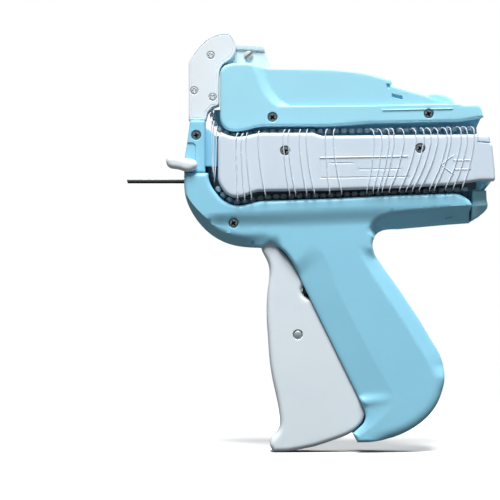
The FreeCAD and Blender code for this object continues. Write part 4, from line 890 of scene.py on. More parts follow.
class Outlines:
    """Outlines in the photograph frame, the same as the solids'."""

    BELLY: Places = (
        (262, 248), (250, 247.5), (237, 246), (225, 242.5), (213, 236), (203, 227.5),
        (195, 217.5), (189, 207), (185.5, 197), (184, 185))
    LEAN_TOP: Places = ((198, 211), (206, 211), (245, 209), (300, 206), (360, 203.5), (510, 201))
    LEAN_FOOT: Places = ((198, 227), (206, 227), (245, 229), (300, 229), (360, 227), (510, 222))
    LEAN_BEYOND: Places = ((510, 480), (198, 480))
    BELLY_EDGE: Places = (
        (186.5, 195), (192, 203), (200, 212), (210, 222.5), (220, 229.8), (232, 234.2), (245, 235.6),
        (262, 236.2), (280, 237), (292, 239))
    BELLY_RIM: Places = (
        (184.6, 192), (187.5, 204), (193.5, 215.5), (202.5, 227), (214, 236.8), (229, 244), (244, 247),
        (262, 248), (280, 248.5), (288, 257))
    BELLY_DROP_SHARES: Tuple[float, ...] = (1, 1, 1, 1, 1, 1, 0.9, 0.42, 0.42, 0.42)
    BELLY_BEYOND: Places = ((276, 310), (150, 310), (150, 186))
    TAIL_CREASE: Places = ((362, 231), (370, 219), (384, 212.5), (400, 209.8), (420, 208.5),
                           (450, 206.3), (473, 205), (496, 203.5))
    TAIL_RIM: Places = ((374, 242), (379, 233), (388, 229.5), (400, 229), (424, 226.8), (450, 224.5),
                        (471, 223), (490, 207.5))
    TAIL_BEYOND: Places = ((510, 208), (510, 262), (384, 262), (375.5, 248))
    FACET_CREASE: Places = ((312, 243), (325, 257), (336, 285), (352, 318), (372, 356), (396, 398))
    FACET_RIM: Places = ((292, 262), (299, 275), (305, 288), (322, 322), (341, 361), (361, 402))
    FACET_BEYOND: Places = ((363, 420), (330, 430), (250, 300), (270, 262))
    NAPE_CREASE: Places = ((356, 244), (362, 257), (372, 274), (388, 298), (404, 322), (418, 345),
                           (429, 364), (434, 380))
    NAPE_RIM: Places = ((373.5, 247), (378, 258), (388, 273), (403, 294.5), (419, 318.5), (433, 342),
                        (442, 360), (445, 380))
    NAPE_BEYOND: Places = ((465, 380), (465, 330), (395, 250), (380, 244))
    TRACK_FRONT: Places = (
        (208, 173), (209, 180), (212, 187), (217, 194), (223, 200), (231, 204), (240, 205.5),
        (250, 203.5), (260, 201))
    TRACK_FLOOR: Places = ((260, 201), (330, 198.5), (400, 195), (450, 193.5))
    TAIL_ROUND: Places = ((450, 193.5), (458, 194), (465, 197), (471, 202), (472.5, 205.5))
    UNDERSIDE: Places = ((472.5, 205.5), (470, 212), (471, 223), (450, 224.5), (400, 229))
    GRIP_BACK: Places = (
        (400, 229), (388, 229.5), (380, 232), (375, 237), (373, 243.5), (374, 251), (380, 262),
        (390, 276), (400, 290), (410, 305), (420, 320), (430, 337), (438, 350), (442.5, 360),
        (445, 372), (445, 381), (443, 391), (438.5, 403), (430, 415.5), (418, 426), (404, 434),
        (388, 439.5), (372, 442.5), (358, 443))
    GRIP_TOE: Places = ((353, 434), (360, 428), (364.5, 423), (366, 417), (364, 409), (360, 400))
    GRIP_THROAT: Places = ((303, 284), (297, 271), (290, 259), (281, 249), (270, 243))
    NOSE_FRONT: Places = ((190, 120), (188, 135), (186, 148), (184.5, 158), (184, 166))
    REAR: Places = (
        (190, 120), (205, 120), (205, 134.6), (480, 134.6), (490, 142), (492, 146), (494, 165),
        (494.5, 181), (488, 189), (488, 200), (489, 204), (489, 208), (486, 212), (480, 217),
        (475, 220), (471, 223), (450, 224.5), (400, 229))
    UPPER_CORNER: Places = ((220, 76), (221, 70), (226, 65), (233, 63))
    UPPER_TOP: Places = ((233, 63), (242, 62.6), (250, 63.1), (258, 64.8), (265, 66.3), (275, 67),
                         (300, 67.4), (330, 68))
    UPPER_SHOULDER: Places = ((330, 68), (350, 69.8), (365, 72), (380, 76), (391, 79))
    UPPER_SLOPE: Places = (
        (391, 79), (392, 84.5), (400, 87), (428, 95), (455, 101), (463, 104), (477, 104))
    UPPER_REAR: Places = ((477, 104), (480.5, 106), (482, 110))
    UPPER_SIDE: Places = ((482, 110), (484, 117), (460, 121), (370, 123), (330, 126), (262, 126))
    UPPER_FOOT: Places = (
        (262, 126), (255, 127.5), (245, 130), (237, 131), (230, 130.3), (224, 127), (220.6, 121),
        (220, 113))
    SKIRT: Places = ((213.6, 108), (224, 108), (224, 118), (484, 116), (479.5, 126), (480, 133.8),
                     (236, 133.8), (227, 132.6), (220, 128.6), (215.6, 123), (213.8, 116))
    HEAD_EDGE: Places = ((188.5, 119.5), (188.5, 62))
    HEAD_CROWN: Places = (
        (188.5, 62), (190.5, 56), (195, 49), (201, 42), (208, 36.5), (216, 32.8), (224, 31.3),
        (230, 32.6), (234, 37.5), (236, 44), (235.3, 51), (232, 56.8), (227, 60.5), (222.5, 64),
        (219.8, 69), (218.8, 75))
    HEAD_BASE: Places = (
        (218.8, 75), (218.8, 104), (212, 107), (207.5, 112), (205.5, 119.5), (188.5, 119.5))
    ARM: Places = ((225, 46), (236, 46), (264.5, 47.5), (266, 52), (270, 64), (270, 88), (240, 88),
                   (225, 62))
    ARM_FLANGE: Places = ((225, 41.5), (236, 41.8), (263.5, 43.7), (265, 50), (236, 48.2), (225, 48))
    LOCK: Places = (
        (166.2, 161), (167.2, 157.8), (170.7, 155.8), (176, 156), (184.8, 158.2), (191, 159.1),
        (195.7, 161), (197.6, 165), (195.5, 169), (191, 171.3), (184.8, 171.5), (179.4, 169.8),
        (174, 169), (169.6, 167.8), (167, 164.8), (166.2, 161))
    LATCH: Places = (
        (429, 97), (430, 94), (433, 92.2), (438, 92.2), (446, 94.2), (452, 97.5), (455, 101.5),
        (455, 107), (429, 107))
    COVER_TOP: Places = (
        (218, 140), (219.5, 135.5), (222.5, 133.6), (228, 135.5), (235, 136.8), (245, 136.3),
        (255, 134), (262, 133))
    COVER_BACK: Places = (
        (262, 133), (313, 133), (322, 136), (477, 134.5), (489, 135.5), (490, 142), (492, 146),
        (494, 165), (495, 178), (494, 181), (480, 181), (463, 183.5), (450, 185), (400, 188),
        (330, 190.5), (258, 191.5))
    COVER_FOOT: Places = (
        (258, 191.5), (250, 194), (243, 196.5), (235, 197.3), (228, 195), (222, 188.5),
        (218.8, 182), (218, 178))
    TRIGGER_FRONT: Places = (
        (262, 236), (261, 243), (262, 250), (266, 258), (269.5, 268), (269.5, 278), (268, 290),
        (267, 305), (267, 320), (268, 335), (269, 350), (271, 370), (274, 386), (277.5, 402),
        (280, 418), (280.3, 427), (277, 434.5), (272, 440), (270.3, 446), (274, 453))
    TRIGGER_SOLE: Places = (
        (274, 453), (287, 452.8), (300, 450.6), (315, 447.4), (330, 442.6), (342, 438.4),
        (352, 433.6), (361, 426), (367.5, 414))
    TRIGGER_BACK: Places = ((367.5, 414), (364, 401), (313.25, 297.1))
    TRIGGER_NECK: Places = (
        (306.48, 284.3), (303, 278), (296, 266), (288, 256), (281, 248), (279.3, 243))
    TRIGGER_EAR: Places = (
        (279.3, 243), (279.2, 236), (275.5, 231.5), (269, 230.5), (264, 232.5), (262, 236))
    UPPER_RAIL: Places = (
        (475, 127.3), (400, 129), (330, 130), (285, 130.2), (262, 131.2), (248, 133.6), (237, 134.3),
        (226, 132), (218, 127), (213.5, 119), (211, 108), (209.5, 95), (209, 70))
    LOWER_RAIL: Places = (
        (470, 188.7), (450, 189.6), (400, 191.6), (330, 194.5), (285, 195.9), (262, 197.4),
        (250, 200), (240, 201.6), (231, 200), (222, 193.5), (217, 187.2), (215, 183.8))


def sweep(places: Places, count: int = 60) -> Array:
    """Smooth line of a set number of points through places."""
    return spline(at(places), count)


@dataclass
class Casing:
    """Lower body and grip: two shells that meet in the middle plane, and their screw."""

    face: float = 13.0
    rim: float = 1.7
    wall: float = 0.8
    lean: float = 1.99           # how far the body's face leans in above the grip
    lean_ease: float = 0.9       # by how much it starts later and ends sooner than straight slopes
    belly: float = 4.6
    tail: float = 8.0
    front: float = 1.6
    nape: float = 2.6
    toe: float = 0.9
    sole: float = 4.6            # rounding of the grip's foot
    way_half: float = 8.3
    mouth_half: float = 1.5      # of the hole in the front, for the needle
    back_wall: float = 3.0
    screw_px: Place = (233.5, 223)
    rib_px: Places = ((346, 304), (346, 280), (318, 280), (303, 284), (303, 304))

    def grip(self) -> List[Array]:
        """Outline of the grip, from the rear underside round to the belly."""
        return [smooth(Outlines.GRIP_BACK), smooth(Outlines.GRIP_TOE),
                smooth(Outlines.GRIP_THROAT), smooth(Outlines.BELLY)]

    def left_ring(self) -> Array:
        """Outline of the left shell."""
        return outline(at(((184, 185), (184, 173), (208, 173))), smooth(Outlines.TRACK_FRONT),
                       at(Outlines.TRACK_FLOOR), smooth(Outlines.TAIL_ROUND),
                       at(Outlines.UNDERSIDE), *self.grip())

    def right_ring(self) -> Array:
        """Outline of the right shell, which runs up behind the magazine."""
        return outline(smooth(Outlines.NOSE_FRONT[::-1]), at(Outlines.REAR), *self.grip())

    def leaning(self) -> Ramp:
        """Lean of the face below the parting line, which runs out towards the nose."""
        rise = (0, self.lean_ease)
        return Ramp(at(Outlines.LEAN_TOP) - rise, at(Outlines.LEAN_FOOT) + rise, self.lean,
                    at(Outlines.LEAN_BEYOND), soft=True, fades=(10.0, 0.0))

    def chamfer(self) -> Ramp:
        """Chamfer along the belly.

        From edge to rim it drops by its depth's share. Both lines are moved along that way, so that
        the slope starts at the face and meets the leaning part of it on the edge.
        """
        edge, rim = at(Outlines.BELLY_EDGE), at(Outlines.BELLY_RIM)
        way = (rim - edge) / (self.belly * np.array(Outlines.BELLY_DROP_SHARES))[:, None]
        back = self.leaning().depth(edge)[:, None]
        total = self.lean + self.belly
        return Ramp(spline(edge - way * back, 60), spline(edge + way * (total - back), 60), total,
                    at(Outlines.BELLY_BEYOND), fades=(3.0, 7.0), crisp=0.8)

    def reliefs(self) -> List[Relief]:
        """Lean of the face, belly chamfer, tail facet, the grip's facets and its round foot."""
        lines = Outlines
        toe = Ramp(sweep(((357, 438), (372, 427), (384, 416), (399, 399))),
                   sweep(((354, 434), (361, 427), (366, 417), (362, 403))), self.lean + self.toe,
                   at(((345, 403), (340, 436))), self.lean, fades=(1.5, 2.5), crisp=0.5)
        return [
            self.leaning(),
            self.chamfer(),
            Ramp(sweep(lines.TAIL_CREASE), sweep(lines.TAIL_RIM), self.tail, at(lines.TAIL_BEYOND),
                 fades=(4.0, 0.0), crisp=0.8),
            Ramp(sweep(lines.FACET_CREASE), sweep(lines.FACET_RIM), self.lean + self.front,
                 at(lines.FACET_BEYOND), self.lean, fades=(8.0, 3.0), crisp=0.7),
            Ramp(sweep(lines.NAPE_CREASE), sweep(lines.NAPE_RIM), self.lean + self.nape,
                 at(lines.NAPE_BEYOND), self.lean, fades=(6.0, 7.0), crisp=0.4),
            toe,
            Roll(smooth(lines.GRIP_BACK[13:]), self.sole, self.sole * 0.6),
        ]

    def build(self) -> None:
        """Makes both shells and the end piece of the tail."""
        way = at(((250, 232), (262, 225), (290, 225), (312, 262), (322, 290), (378, 412),
                  (372, 432), (352, 452), (330, 440), (240, 300)))
        mouth = at(((176, 175.9), (197, 175.9), (197, 183.1), (176, 183.1)))
        behind = at(((160, 100), (520, 100), (520, 199), (482, 199), (482, 160), (196, 160),
                     (196, 172.8), (160, 172.8)))
        marks = [Patch(at(((446, 214.5), (455, 213), (453, 217.5), (446, 219))), 0.6),
                 Patch(at(((250.8, 240.5), (254.6, 240.5), (254.2, 244.5), (251.4, 244.5))), 0.8)]
        for side, ring, extra, rear in (
                (Side.LEFT, self.left_ring(), marks + screw_wells([self.screw_px]), []),
                (Side.RIGHT, self.right_ring(), [], [(behind, self.back_wall)])):
            way_y, mouth_y = side.value * self.way_half, side.value * self.mouth_half
            shell = Moulding(ring, side.value * self.face, side.value * SHELL_GAP, self.rim, side,
                             self.reliefs() + extra, capped=False, shell=self.wall,
                             windows=[(way, way_y)] + rear + [(mouth, mouth_y)])
            name = side.name.lower()
            dress(shell.build(f"casing_{name}_shell"), BLUE_ABS, f"housing_{name}")
        end_ring = outline(at(((473.2, 190), (487.6, 190), (488, 200), (489, 204), (489, 208),
                               (486, 212), (480, 217), (475, 220), (472.4, 221.5))))
        underside = Ramp(at(((472, 206), (490, 205))), at(((471, 224), (480, 219), (490, 209))), 3.5,
                         at(((500, 209), (500, 235), (465, 235))))
        end = Moulding(end_ring, -8.2, 2.8, 1.2, reliefs=[underside])
        # the tail end gets the lighter blue copy: painted light where the cover shades it
        dress(end.build("casing_tail_end"), LIGHTER_BLUE_ABS)
        rib = Moulding(at(self.rib_px), -0.8, 0.8, 0.2)
        dress(rib.build("grip_spring_rib"), BLUE_ABS)


@dataclass
class Nose:
    """Upper nose block with its thread strip, and the peg that locks the needle."""

    face: float = 11.0
    back: float = 2.85
    rim: float = 1.0
    ledge: float = 0.6
    screw_px: Place = (196, 135)
    lock_face: float = 15.8
    lock_middle: float = 13.5

    def build(self) -> None:
        """Makes the block, the strip behind it and the lock."""
        ring = outline(smooth(Outlines.NOSE_FRONT), at(((184, 172.6), (205, 172.6), (205, 120))))
        ledge = Patch(at(((178, 142), (193, 142), (196, 145), (196, 170), (178, 170))), self.ledge, 0.5)
        block = Moulding(ring, -self.face, self.back, self.rim,
                         reliefs=[ledge] + screw_wells([self.screw_px]))
        dress(block.build("nose_block_shell"), BLUE_ABS, "nose_block")
        strip = Moulding(outline(at(((204, 127), (209, 129), (214, 134), (217.2, 139),
                                     (217.2, 166), (204, 166)))), -6.0, -2.4, 0.5)
        dress(strip.build("nose_thread_strip"), BLUE_ABS)
        lock = twofold(outline(smooth(Outlines.LOCK)), -self.lock_face, -self.lock_middle, 2.1)
        dress(lock.build("needle_lock_peg"), GUIDE_NYLON, "needle_lock", body="lock")


@dataclass
class UpperHousing:
    """Upper housing in two halves, the wall behind the upper track and the latch."""

    face: float = 12.0
    rim: float = 1.2
    wall: float = 1.6
    recess: float = 1.5
    arm_half: float = 4.3
    latch_half: float = 8.0
    latch_gap: float = 0.15
    far_share: float = 0.6       # of the recess's depth, on the right half
    screws_px: Tuple[Place, ...] = ((272.5, 117), (429, 113.5))

    def ring(self) -> Array:
        """Outline of a half."""
        return outline(smooth(Outlines.UPPER_CORNER), smooth(Outlines.UPPER_TOP),
                       smooth(Outlines.UPPER_SHOULDER), at(Outlines.UPPER_SLOPE),
                       at(Outlines.UPPER_REAR), at(Outlines.UPPER_SIDE),
                       smooth(Outlines.UPPER_FOOT))

    def sunk_panel(self, drop: float) -> Recess:
        """The recess in the face, with its slope on the left and its sill below."""
        near = sweep(((248, 58), (250, 63), (256, 75), (262, 90), (268, 99), (275, 105), (287, 107)))
        far = sweep(((262, 62), (265, 74), (270, 86), (276, 95), (283, 101.5), (291, 104.8)))
        sill = at(((284, 107), (360, 106.6), (456, 104.4), (470, 103)))
        ring = at(((287, 107), (456, 104.6), (476, 103), (476, 50), (262, 50)))
        return Recess(near, far, sill, ring, drop)

    def build(self) -> None:
        """Makes both halves, the skirt and the latch."""
        windows_px = [(((216, 58), (216, 100), (276, 100), (276, 52), (222, 40)), self.arm_half),
                      (((420, 84), (467, 90), (467, 110), (420, 110)),
                       self.latch_half + self.latch_gap)]
        rib = Line(at(((452, 108.6), (384, 110))), 0.75, 0.45)
        slot = Patch(at(((392, 93), (403, 95.5), (403, 99.5), (392, 97))), 1.2, 0.25)
        notch = Patch(at(((386.5, 83), (390.5, 83.5), (390, 89), (387, 88.5))), 1.0, 0.2)
        bay = Patch(at(((426.5, 80), (426.5, 95.5), (431, 99.4), (452, 104.6), (458, 103.2), (462, 80))),
                    4.3, 0.3)
        for side, drop, extra in (
                (Side.LEFT, self.recess, [rib, slot, notch, bay] + screw_wells(self.screws_px)),
                (Side.RIGHT, self.recess * self.far_share, [])):
            shell = Moulding(self.ring(), side.value * self.face, side.value * SHELL_GAP, self.rim,
                             side, [self.sunk_panel(drop)] + extra, capped=False, shell=self.wall,
                             windows=[(at(px), side.value * half) for px, half in windows_px])
            name = side.name.lower()
            # the halves get the lighter blue copy: painted light from above
            dress(shell.build(f"upper_{name}_shell"), LIGHTER_BLUE_ABS, f"upper_housing_{name}")
        skirt = Moulding(outline(at(Outlines.SKIRT)), 10.8, 1.9, 0.3, Side.RIGHT)
        dress(skirt.build("upper_track_wall"), BLUE_ABS)
        latch = twofold(outline(at(Outlines.LATCH)), -self.latch_half, 0.0, 1.2)
        # the latch also gets the lighter blue copy, as painted light
        dress(latch.build("latch_thumb_tab"), LIGHTER_BLUE_ABS, "housing_latch", body="latch")


@dataclass
class HeadGuide:
    """White guide at the front top: body, cover plate, rear arm and their screws."""

    plate_face: float = 8.6
    plate_back: float = 7.0
    body_face: float = 8.0
    rim: float = 0.5
    arm_half: float = 4.0
    flange_half: float = 4.9
    screws_px: Tuple[Place, ...] = ((210.5, 54.5), (194, 90), (212.5, 96.5))

    def ring(self) -> Array:
        """Outline of body and plate."""
        return outline(at(Outlines.HEAD_EDGE), smooth(Outlines.HEAD_CROWN),
                       at(Outlines.HEAD_BASE))

    def build(self) -> None:
        """Makes the body, the plate with its moulded edge line, and the arm."""
        ring = self.ring()
        body = Moulding(ring, self.body_face, -6.85, self.rim, Side.RIGHT)
        dress(body.build("head_guide_body"), GUIDE_NYLON, "head_body")
        closed = np.concatenate([ring, ring[:1]])
        inset = closed - 1.1 * Moulding.normals(closed)
        wells = [Well(centre, 1.75, 0.5, 0.2) for centre in at(self.screws_px)]
        plate = Moulding(ring, -self.plate_face, -self.plate_back, self.rim,
                         reliefs=[Line(inset, 0.45, -0.22)] + wells)
        dress(plate.build("head_guide_plate"), GUIDE_NYLON, "head_plate")
        arm = twofold(outline(at(Outlines.ARM)), -self.arm_half, 0.0, 0.4)
        flange = twofold(outline(at(Outlines.ARM_FLANGE)), -self.flange_half, 0.0, 0.6)
        # arm and flange get the darker nylon copy: painted shade
        dress(arm.build("rear_arm"), DARKER_NYLON, "rear_guide_arm")
        dress(flange.build("rear_arm_flange"), DARKER_NYLON)


@dataclass
class Magazine:
    """White cover of the magazine with its moulded frame and arrow."""

    face: float = 15.5
    back: float = 5.0
    rim: float = 1.4
    wall: float = 1.5
    screws_px: Tuple[Place, ...] = ((285, 151), (420, 148.5))

    def build(self) -> None:
        """Makes the cover."""
        ring = outline(smooth(Outlines.COVER_TOP), at(Outlines.COVER_BACK),
                       smooth(Outlines.COVER_FOOT))
        frame = [at(((320, 158), (407, 156.6))), at(((407, 177), (320, 178), (320, 158)))]
        stripes = [at(((330, 163.5), (352, 163.3))), at(((360, 169.6), (400, 169.3)))]
        arrow = at(((470, 160.5), (453, 160.5), (453, 155.5), (440.5, 165), (453, 174.5), (453, 169.5),
                    (470, 169.5), (470, 160.5)))
        groove = at(((477.5, 142), (490, 143)))
        stop = at(((477, 136), (477.5, 142)))
        reliefs = [Line(frame[0], 0.7, 0.35), Line(frame[1], 0.7, -0.25), Line(arrow, 0.7, 0.28),
                   Line(groove, 0.9, -0.8), Line(stop, 0.7, -0.6)]
        reliefs += [Line(stripe, 0.7, -0.25) for stripe in stripes]
        reliefs += screw_wells(self.screws_px, 2.2)
        cover = Moulding(ring, -self.face, -self.back, self.rim, reliefs=reliefs, capped=False,
                         shell=self.wall)
        dress(cover.build("magazine_cover_shell"), COVER_ABS, "magazine_cover")


@dataclass
class Clip:
    """The loaded clip: two rails of small blocks and the threads between them."""

    pitch: float = 3.5
    block_share: float = 0.72
    height: float = 2.4
    half: float = 1.5
    thread_radius: float = 0.22
    thread_face: float = 16.05
    nose_face: float = 12.4
    pairs: Tuple[Tuple[float, float], ...] = (
        (236, 238), (241, 245), (246, 252), (258, 266), (283, 290), (288, 296), (299, 307),
        (306, 315), (325, 330), (333, 342), (374, 366), (382, 372), (389, 377), (394, 381),
        (404, 388), (416, 398), (424, 405), (431, 411), (438, 418), (447, 428), (451, 433),
        (461, 444), (467, 452), (474, 461))
    nose_pairs: Tuple[Tuple[Place, Place], ...] = (
        ((211.5, 117), (212.6, 171)), ((213.5, 121), (213.5, 176)), ((216.5, 126), (214.5, 181)))

    @staticmethod
    def row(line: Array, x: float) -> float:
        """Z at which a rail crosses an X."""
        order = np.argsort(line[:, 0])
        return float(np.interp(x, line[order, 0], line[order, 1]))

    @staticmethod
    def boxed(values: Array, power: float) -> Array:
        """Power of the values with their signs kept, which squares a round section."""
        return np.sign(values) * np.abs(values) ** power

    def blocks(self, places: Places) -> Mesh:
        """Rounded blocks along a rail, joined by a thin web.

        Each block is a grid of rings along the rail's way: half length times the sine of the row's
        angle along it, and a section that swells with the cosine to a small power, so that the
        block is a bar with rounded ends and edges.
        """
        line = spline(at(places), 400)
        run = steps_along(line)
        count = int(run[-1] / self.pitch)
        middle = self.pitch * (np.arange(count) + self.block_share / 2)
        centre = np.stack([np.interp(middle, run, line[:, k]) for k in (0, 1)], axis=1)
        ahead = np.stack([np.interp(middle + 0.4, run, line[:, k]) for k in (0, 1)], axis=1)
        way = (ahead - centre) / np.linalg.norm(ahead - centre, axis=1)[:, None]
        rows = np.radians(np.array([-89.5, -66, -38, 0, 38, 66, 89.5]))
        turn = around(12)
        long = self.pitch * self.block_share / 2 * self.boxed(np.sin(rows), 0.7)
        swell = np.cos(rows) ** 0.35
        u = self.boxed(np.cos(turn), 0.6) * self.height / 2
        v = self.boxed(np.sin(turn), 0.6) * self.half
        across = np.stack([-way[:, 1], way[:, 0]], axis=1)
        flat = (centre[:, None, None] + way[:, None, None] * long[None, :, None, None]
                + across[:, None, None] * (swell[:, None] * u[None])[None, :, :, None])
        y = np.broadcast_to((swell[:, None] * v[None])[None], flat.shape[:3])
        points = np.stack([flat[..., 0], y, flat[..., 1]], axis=-1).reshape(count, -1, 3)
        faces = ring_faces(len(rows), len(turn))
        web = np.stack([line[:, 0], np.full(len(line), self.half - 0.35), line[:, 1]], axis=1)[::4]
        return joined([(block, faces) for block in points]
                      + [carried(web, np.full(len(web), 0.45), 8, np.array([0.0, 1.0, 0.0]))])

    def thread(self, top: Array, foot: Array, face: float, slant: float, loop: float) -> Mesh:
        """One thread: out of the upper rail, over a face in a bow and in to the lower rail.

        Its path is a natural spline through a few places. Across, the share of the way from head to
        foot is the share down to the power 1.9, so that it hangs straight before it sweeps aside; its
        two hidden ends lean the other way by the slant, and a loop lifts it over the slot's lip.
        """
        down = np.array([0.0, 0.0, 0.0, 0.03, 0.13, 0.32, 0.55, 0.77, 0.93, 0.985, 1.0, 1.0, 1.0])
        y = -np.array([1.2, 6.0, face - 2.2, face - 0.5, face, face, face, face, face, face - 0.5,
                       face - 3.5, 6.0, 1.2])
        x = top[0] + (foot[0] - top[0]) * down ** 1.9
        x[:4] += slant * np.array([1.0, 0.9, 0.75, 0.35])
        x[-4:] -= slant * np.array([0.1, 0.4, 0.6, 0.7])
        z = top[1] + (foot[1] - top[1]) * down
        z[2:4] += loop * np.array([0.55, 1.0])
        path = spline(np.stack([x, y, z], axis=1), 80)
        return carried(path, np.full(len(path), self.thread_radius), 8, np.array([1.0, 0.0, 0.0]))

    def build(self) -> None:
        """Makes the rails and the threads."""
        for name, places, node in (("clip_rail_upper", Outlines.UPPER_RAIL, "clip_upper_rail"),
                                   ("clip_rail_lower", Outlines.LOWER_RAIL, "clip_lower_rail")):
            dress(new_piece(name, *self.blocks(places)), RAIL_NYLON, node)
        upper, lower = at(Outlines.UPPER_RAIL), at(Outlines.LOWER_RAIL)
        rng = np.random.default_rng(7)
        parts = []
        for head, foot in self.pairs:
            x_top, x_foot = at([(head, 0)])[0, 0], at([(foot, 0)])[0, 0]
            slant = rng.uniform(1.3, 2.4) * (-1.0 if x_foot < x_top else 0.45)
            parts.append(self.thread(
                np.array([x_top, self.row(upper, x_top)]), np.array([x_foot, self.row(lower, x_foot)]),
                self.thread_face, slant, rng.uniform(-0.2, 0.5)))
        for head_px, foot_px in self.nose_pairs:
            parts.append(self.thread(at([head_px])[0], at([foot_px])[0], self.nose_face, 0.2, 0.0))
        dress(new_piece("clip_thread_set", *joined(parts)), THREAD_NYLON, "clip_threads")


@dataclass
class Trigger:
    """White trigger, hollow and open at the back, with its grey pin."""

    half: float = 8.0
    rim: float = 2.1
    wall: float = 1.6
    notch_px: Place = (309.3, 291)
    notch_radius: float = 3.2
    pin_px: Place = (298, 335)
    pin_radius: float = 1.95

    def ring(self) -> Array:
        """Outline with the round notch in its back edge."""
        notch = arc(self.notch_px, self.notch_radius, -57.0, -293.0)
        return outline(smooth(Outlines.TRIGGER_FRONT), smooth(Outlines.TRIGGER_SOLE),
                       at(Outlines.TRIGGER_BACK), notch, smooth(Outlines.TRIGGER_NECK),
                       smooth(Outlines.TRIGGER_EAR))

    def build(self) -> None:
        """Makes the trigger and the heads of its pin."""
        opening = at(((275, 226), (292, 236), (302, 258), (330, 300), (380, 400), (376, 424),
                      (330, 452), (318, 440), (352, 420), (350, 400), (300, 300), (296, 285),
                      (283, 262), (274, 246)))
        centre = at([self.pin_px])[0]
        body = twofold(self.ring(), -self.half, 0.0, self.rim, reliefs=[Well(centre, 2.1, 1.2)],
                       shell=self.wall, windows=[(opening, -6.2)])
        dress(body.build("trigger_shell"), TRIGGER_ABS, "trigger", body="trigger")
        profile = [(0.02, -7.78), (0.9, -7.8), (1.5, -7.7), (self.pin_radius - 0.1, -7.5),
                   (self.pin_radius, -7.3), (self.pin_radius, 7.3), (self.pin_radius - 0.1, 7.5),
                   (1.5, 7.7), (0.9, 7.8), (0.02, 7.78)]
        dress(new_piece("trigger_grey_pin", *turned(profile, centre)), PIN_STEEL, "trigger_link_pin",
              body="trigger")


@dataclass
class Fasteners:
    """All screw heads."""

    screws: Screws = field(default_factory=Screws)

    def build(self) -> None:
        """Makes the heads in their wells."""
        upper, cover, head = UpperHousing.screws_px, Magazine.screws_px, HeadGuide.screws_px
        for name, finish, heads, rest in (
                ("casing", ZINC_STEEL, ((Casing.screw_px, -10.3, 35), (Nose.screw_px, -9.6, 10),
                                        (upper[0], -10.6, 50), (upper[1], -10.6, 25)), {}),
                ("cover", ZINC_STEEL, ((cover[0], -14.7, 15), (cover[1], -14.7, 40)), {}),
                ("head", BRIGHT_STEEL, ((head[0], -8.45, 20), (head[1], -8.45, 5),
                                        (head[2], -8.45, 48)), {"radius": 1.6}),
                ("arm", BRIGHT_STEEL, (((248.5, 54), -4.9, 38),), {"slotted": True, "radius": 2.1})):
            made = [self.screws.head(place, face, turn=turn, **rest) for place, face, turn in heads]
            more = "s" if len(heads) > 1 else ""
            dress(self.screws.piece(f"{name}_screw_head{more}", made), finish, f"{name}_screw{more}")


@dataclass
class ReturnSpring:
    """Coil spring between the trigger and its seat in the grip."""

    start: float = 39.5
    end: float = 72.0
    offset: float = -3.6
    radius: float = 2.1
    wire: float = 0.3
    turns: int = 13
    turn_points: int = 28
    closing: float = 0.022       # how much closer the end turns lie, as a share of the length
    axis_px: float = 297.0

    def build(self) -> None:
        """Coil: X runs evenly, except for closed end turns, while Y and Z go round a circle."""
        share = np.linspace(0, 1, self.turns * self.turn_points)
        way = share + self.closing * np.sin(2 * math.pi * share) * -1
        turn = 2 * math.pi * self.turns * share
        z = (Frame.ROOT_PX[1] - self.axis_px) * Frame.SCALE_Z
        path = np.stack([self.start + (self.end - self.start) * way,
                         self.offset + self.radius * np.cos(turn),
                         z + self.radius * np.sin(turn)], axis=1)
        radial = np.stack([np.zeros_like(turn), np.cos(turn), np.sin(turn)], axis=1)
        coil = new_piece("return_spring_coil",
                         *carried(path, np.full(len(path), self.wire), 8, radial))
        dress(coil, SPRING_WIRE, "return_spring")
        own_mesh(coil)


class KeptNodes:
    """Solids whose shape is right: they only get their finish."""

    @staticmethod
    def dress(nodes: Dict[str, Piece]) -> None:
        """Gives each remaining node its finish."""
        finishes = {
            "magazine_core": BLUE_ABS, "magazine_plate": GREY_ACETAL, "needle": NEEDLE_STEEL,
            "needle_hub": GREY_ACETAL, "thread_knife": STAMPED_STEEL, "plunger_slide": GREY_ACETAL,
            "plunger_rod": NEEDLE_STEEL, "slide_pin": ZINC_STEEL, "drive_lever": STAMPED_STEEL,
            "lever_foot_pin": ZINC_STEEL, "lever_pivot_pin": ZINC_STEEL,
            "trigger_link": STAMPED_STEEL, "trigger_pivot_pin": ZINC_STEEL,
            "feed_wheel": GREY_ACETAL, "feed_wheel_axle": ZINC_STEEL,
            "index_spring": STAMPED_STEEL,
        }
        for name, finish in finishes.items():
            slots = nodes[name].data.materials
            for index in range(len(slots)):
                slots[index] = finish.material()
            if not len(slots):
                slots.append(finish.material())
            LOG.info("%s: finish %s", name, finish.name)


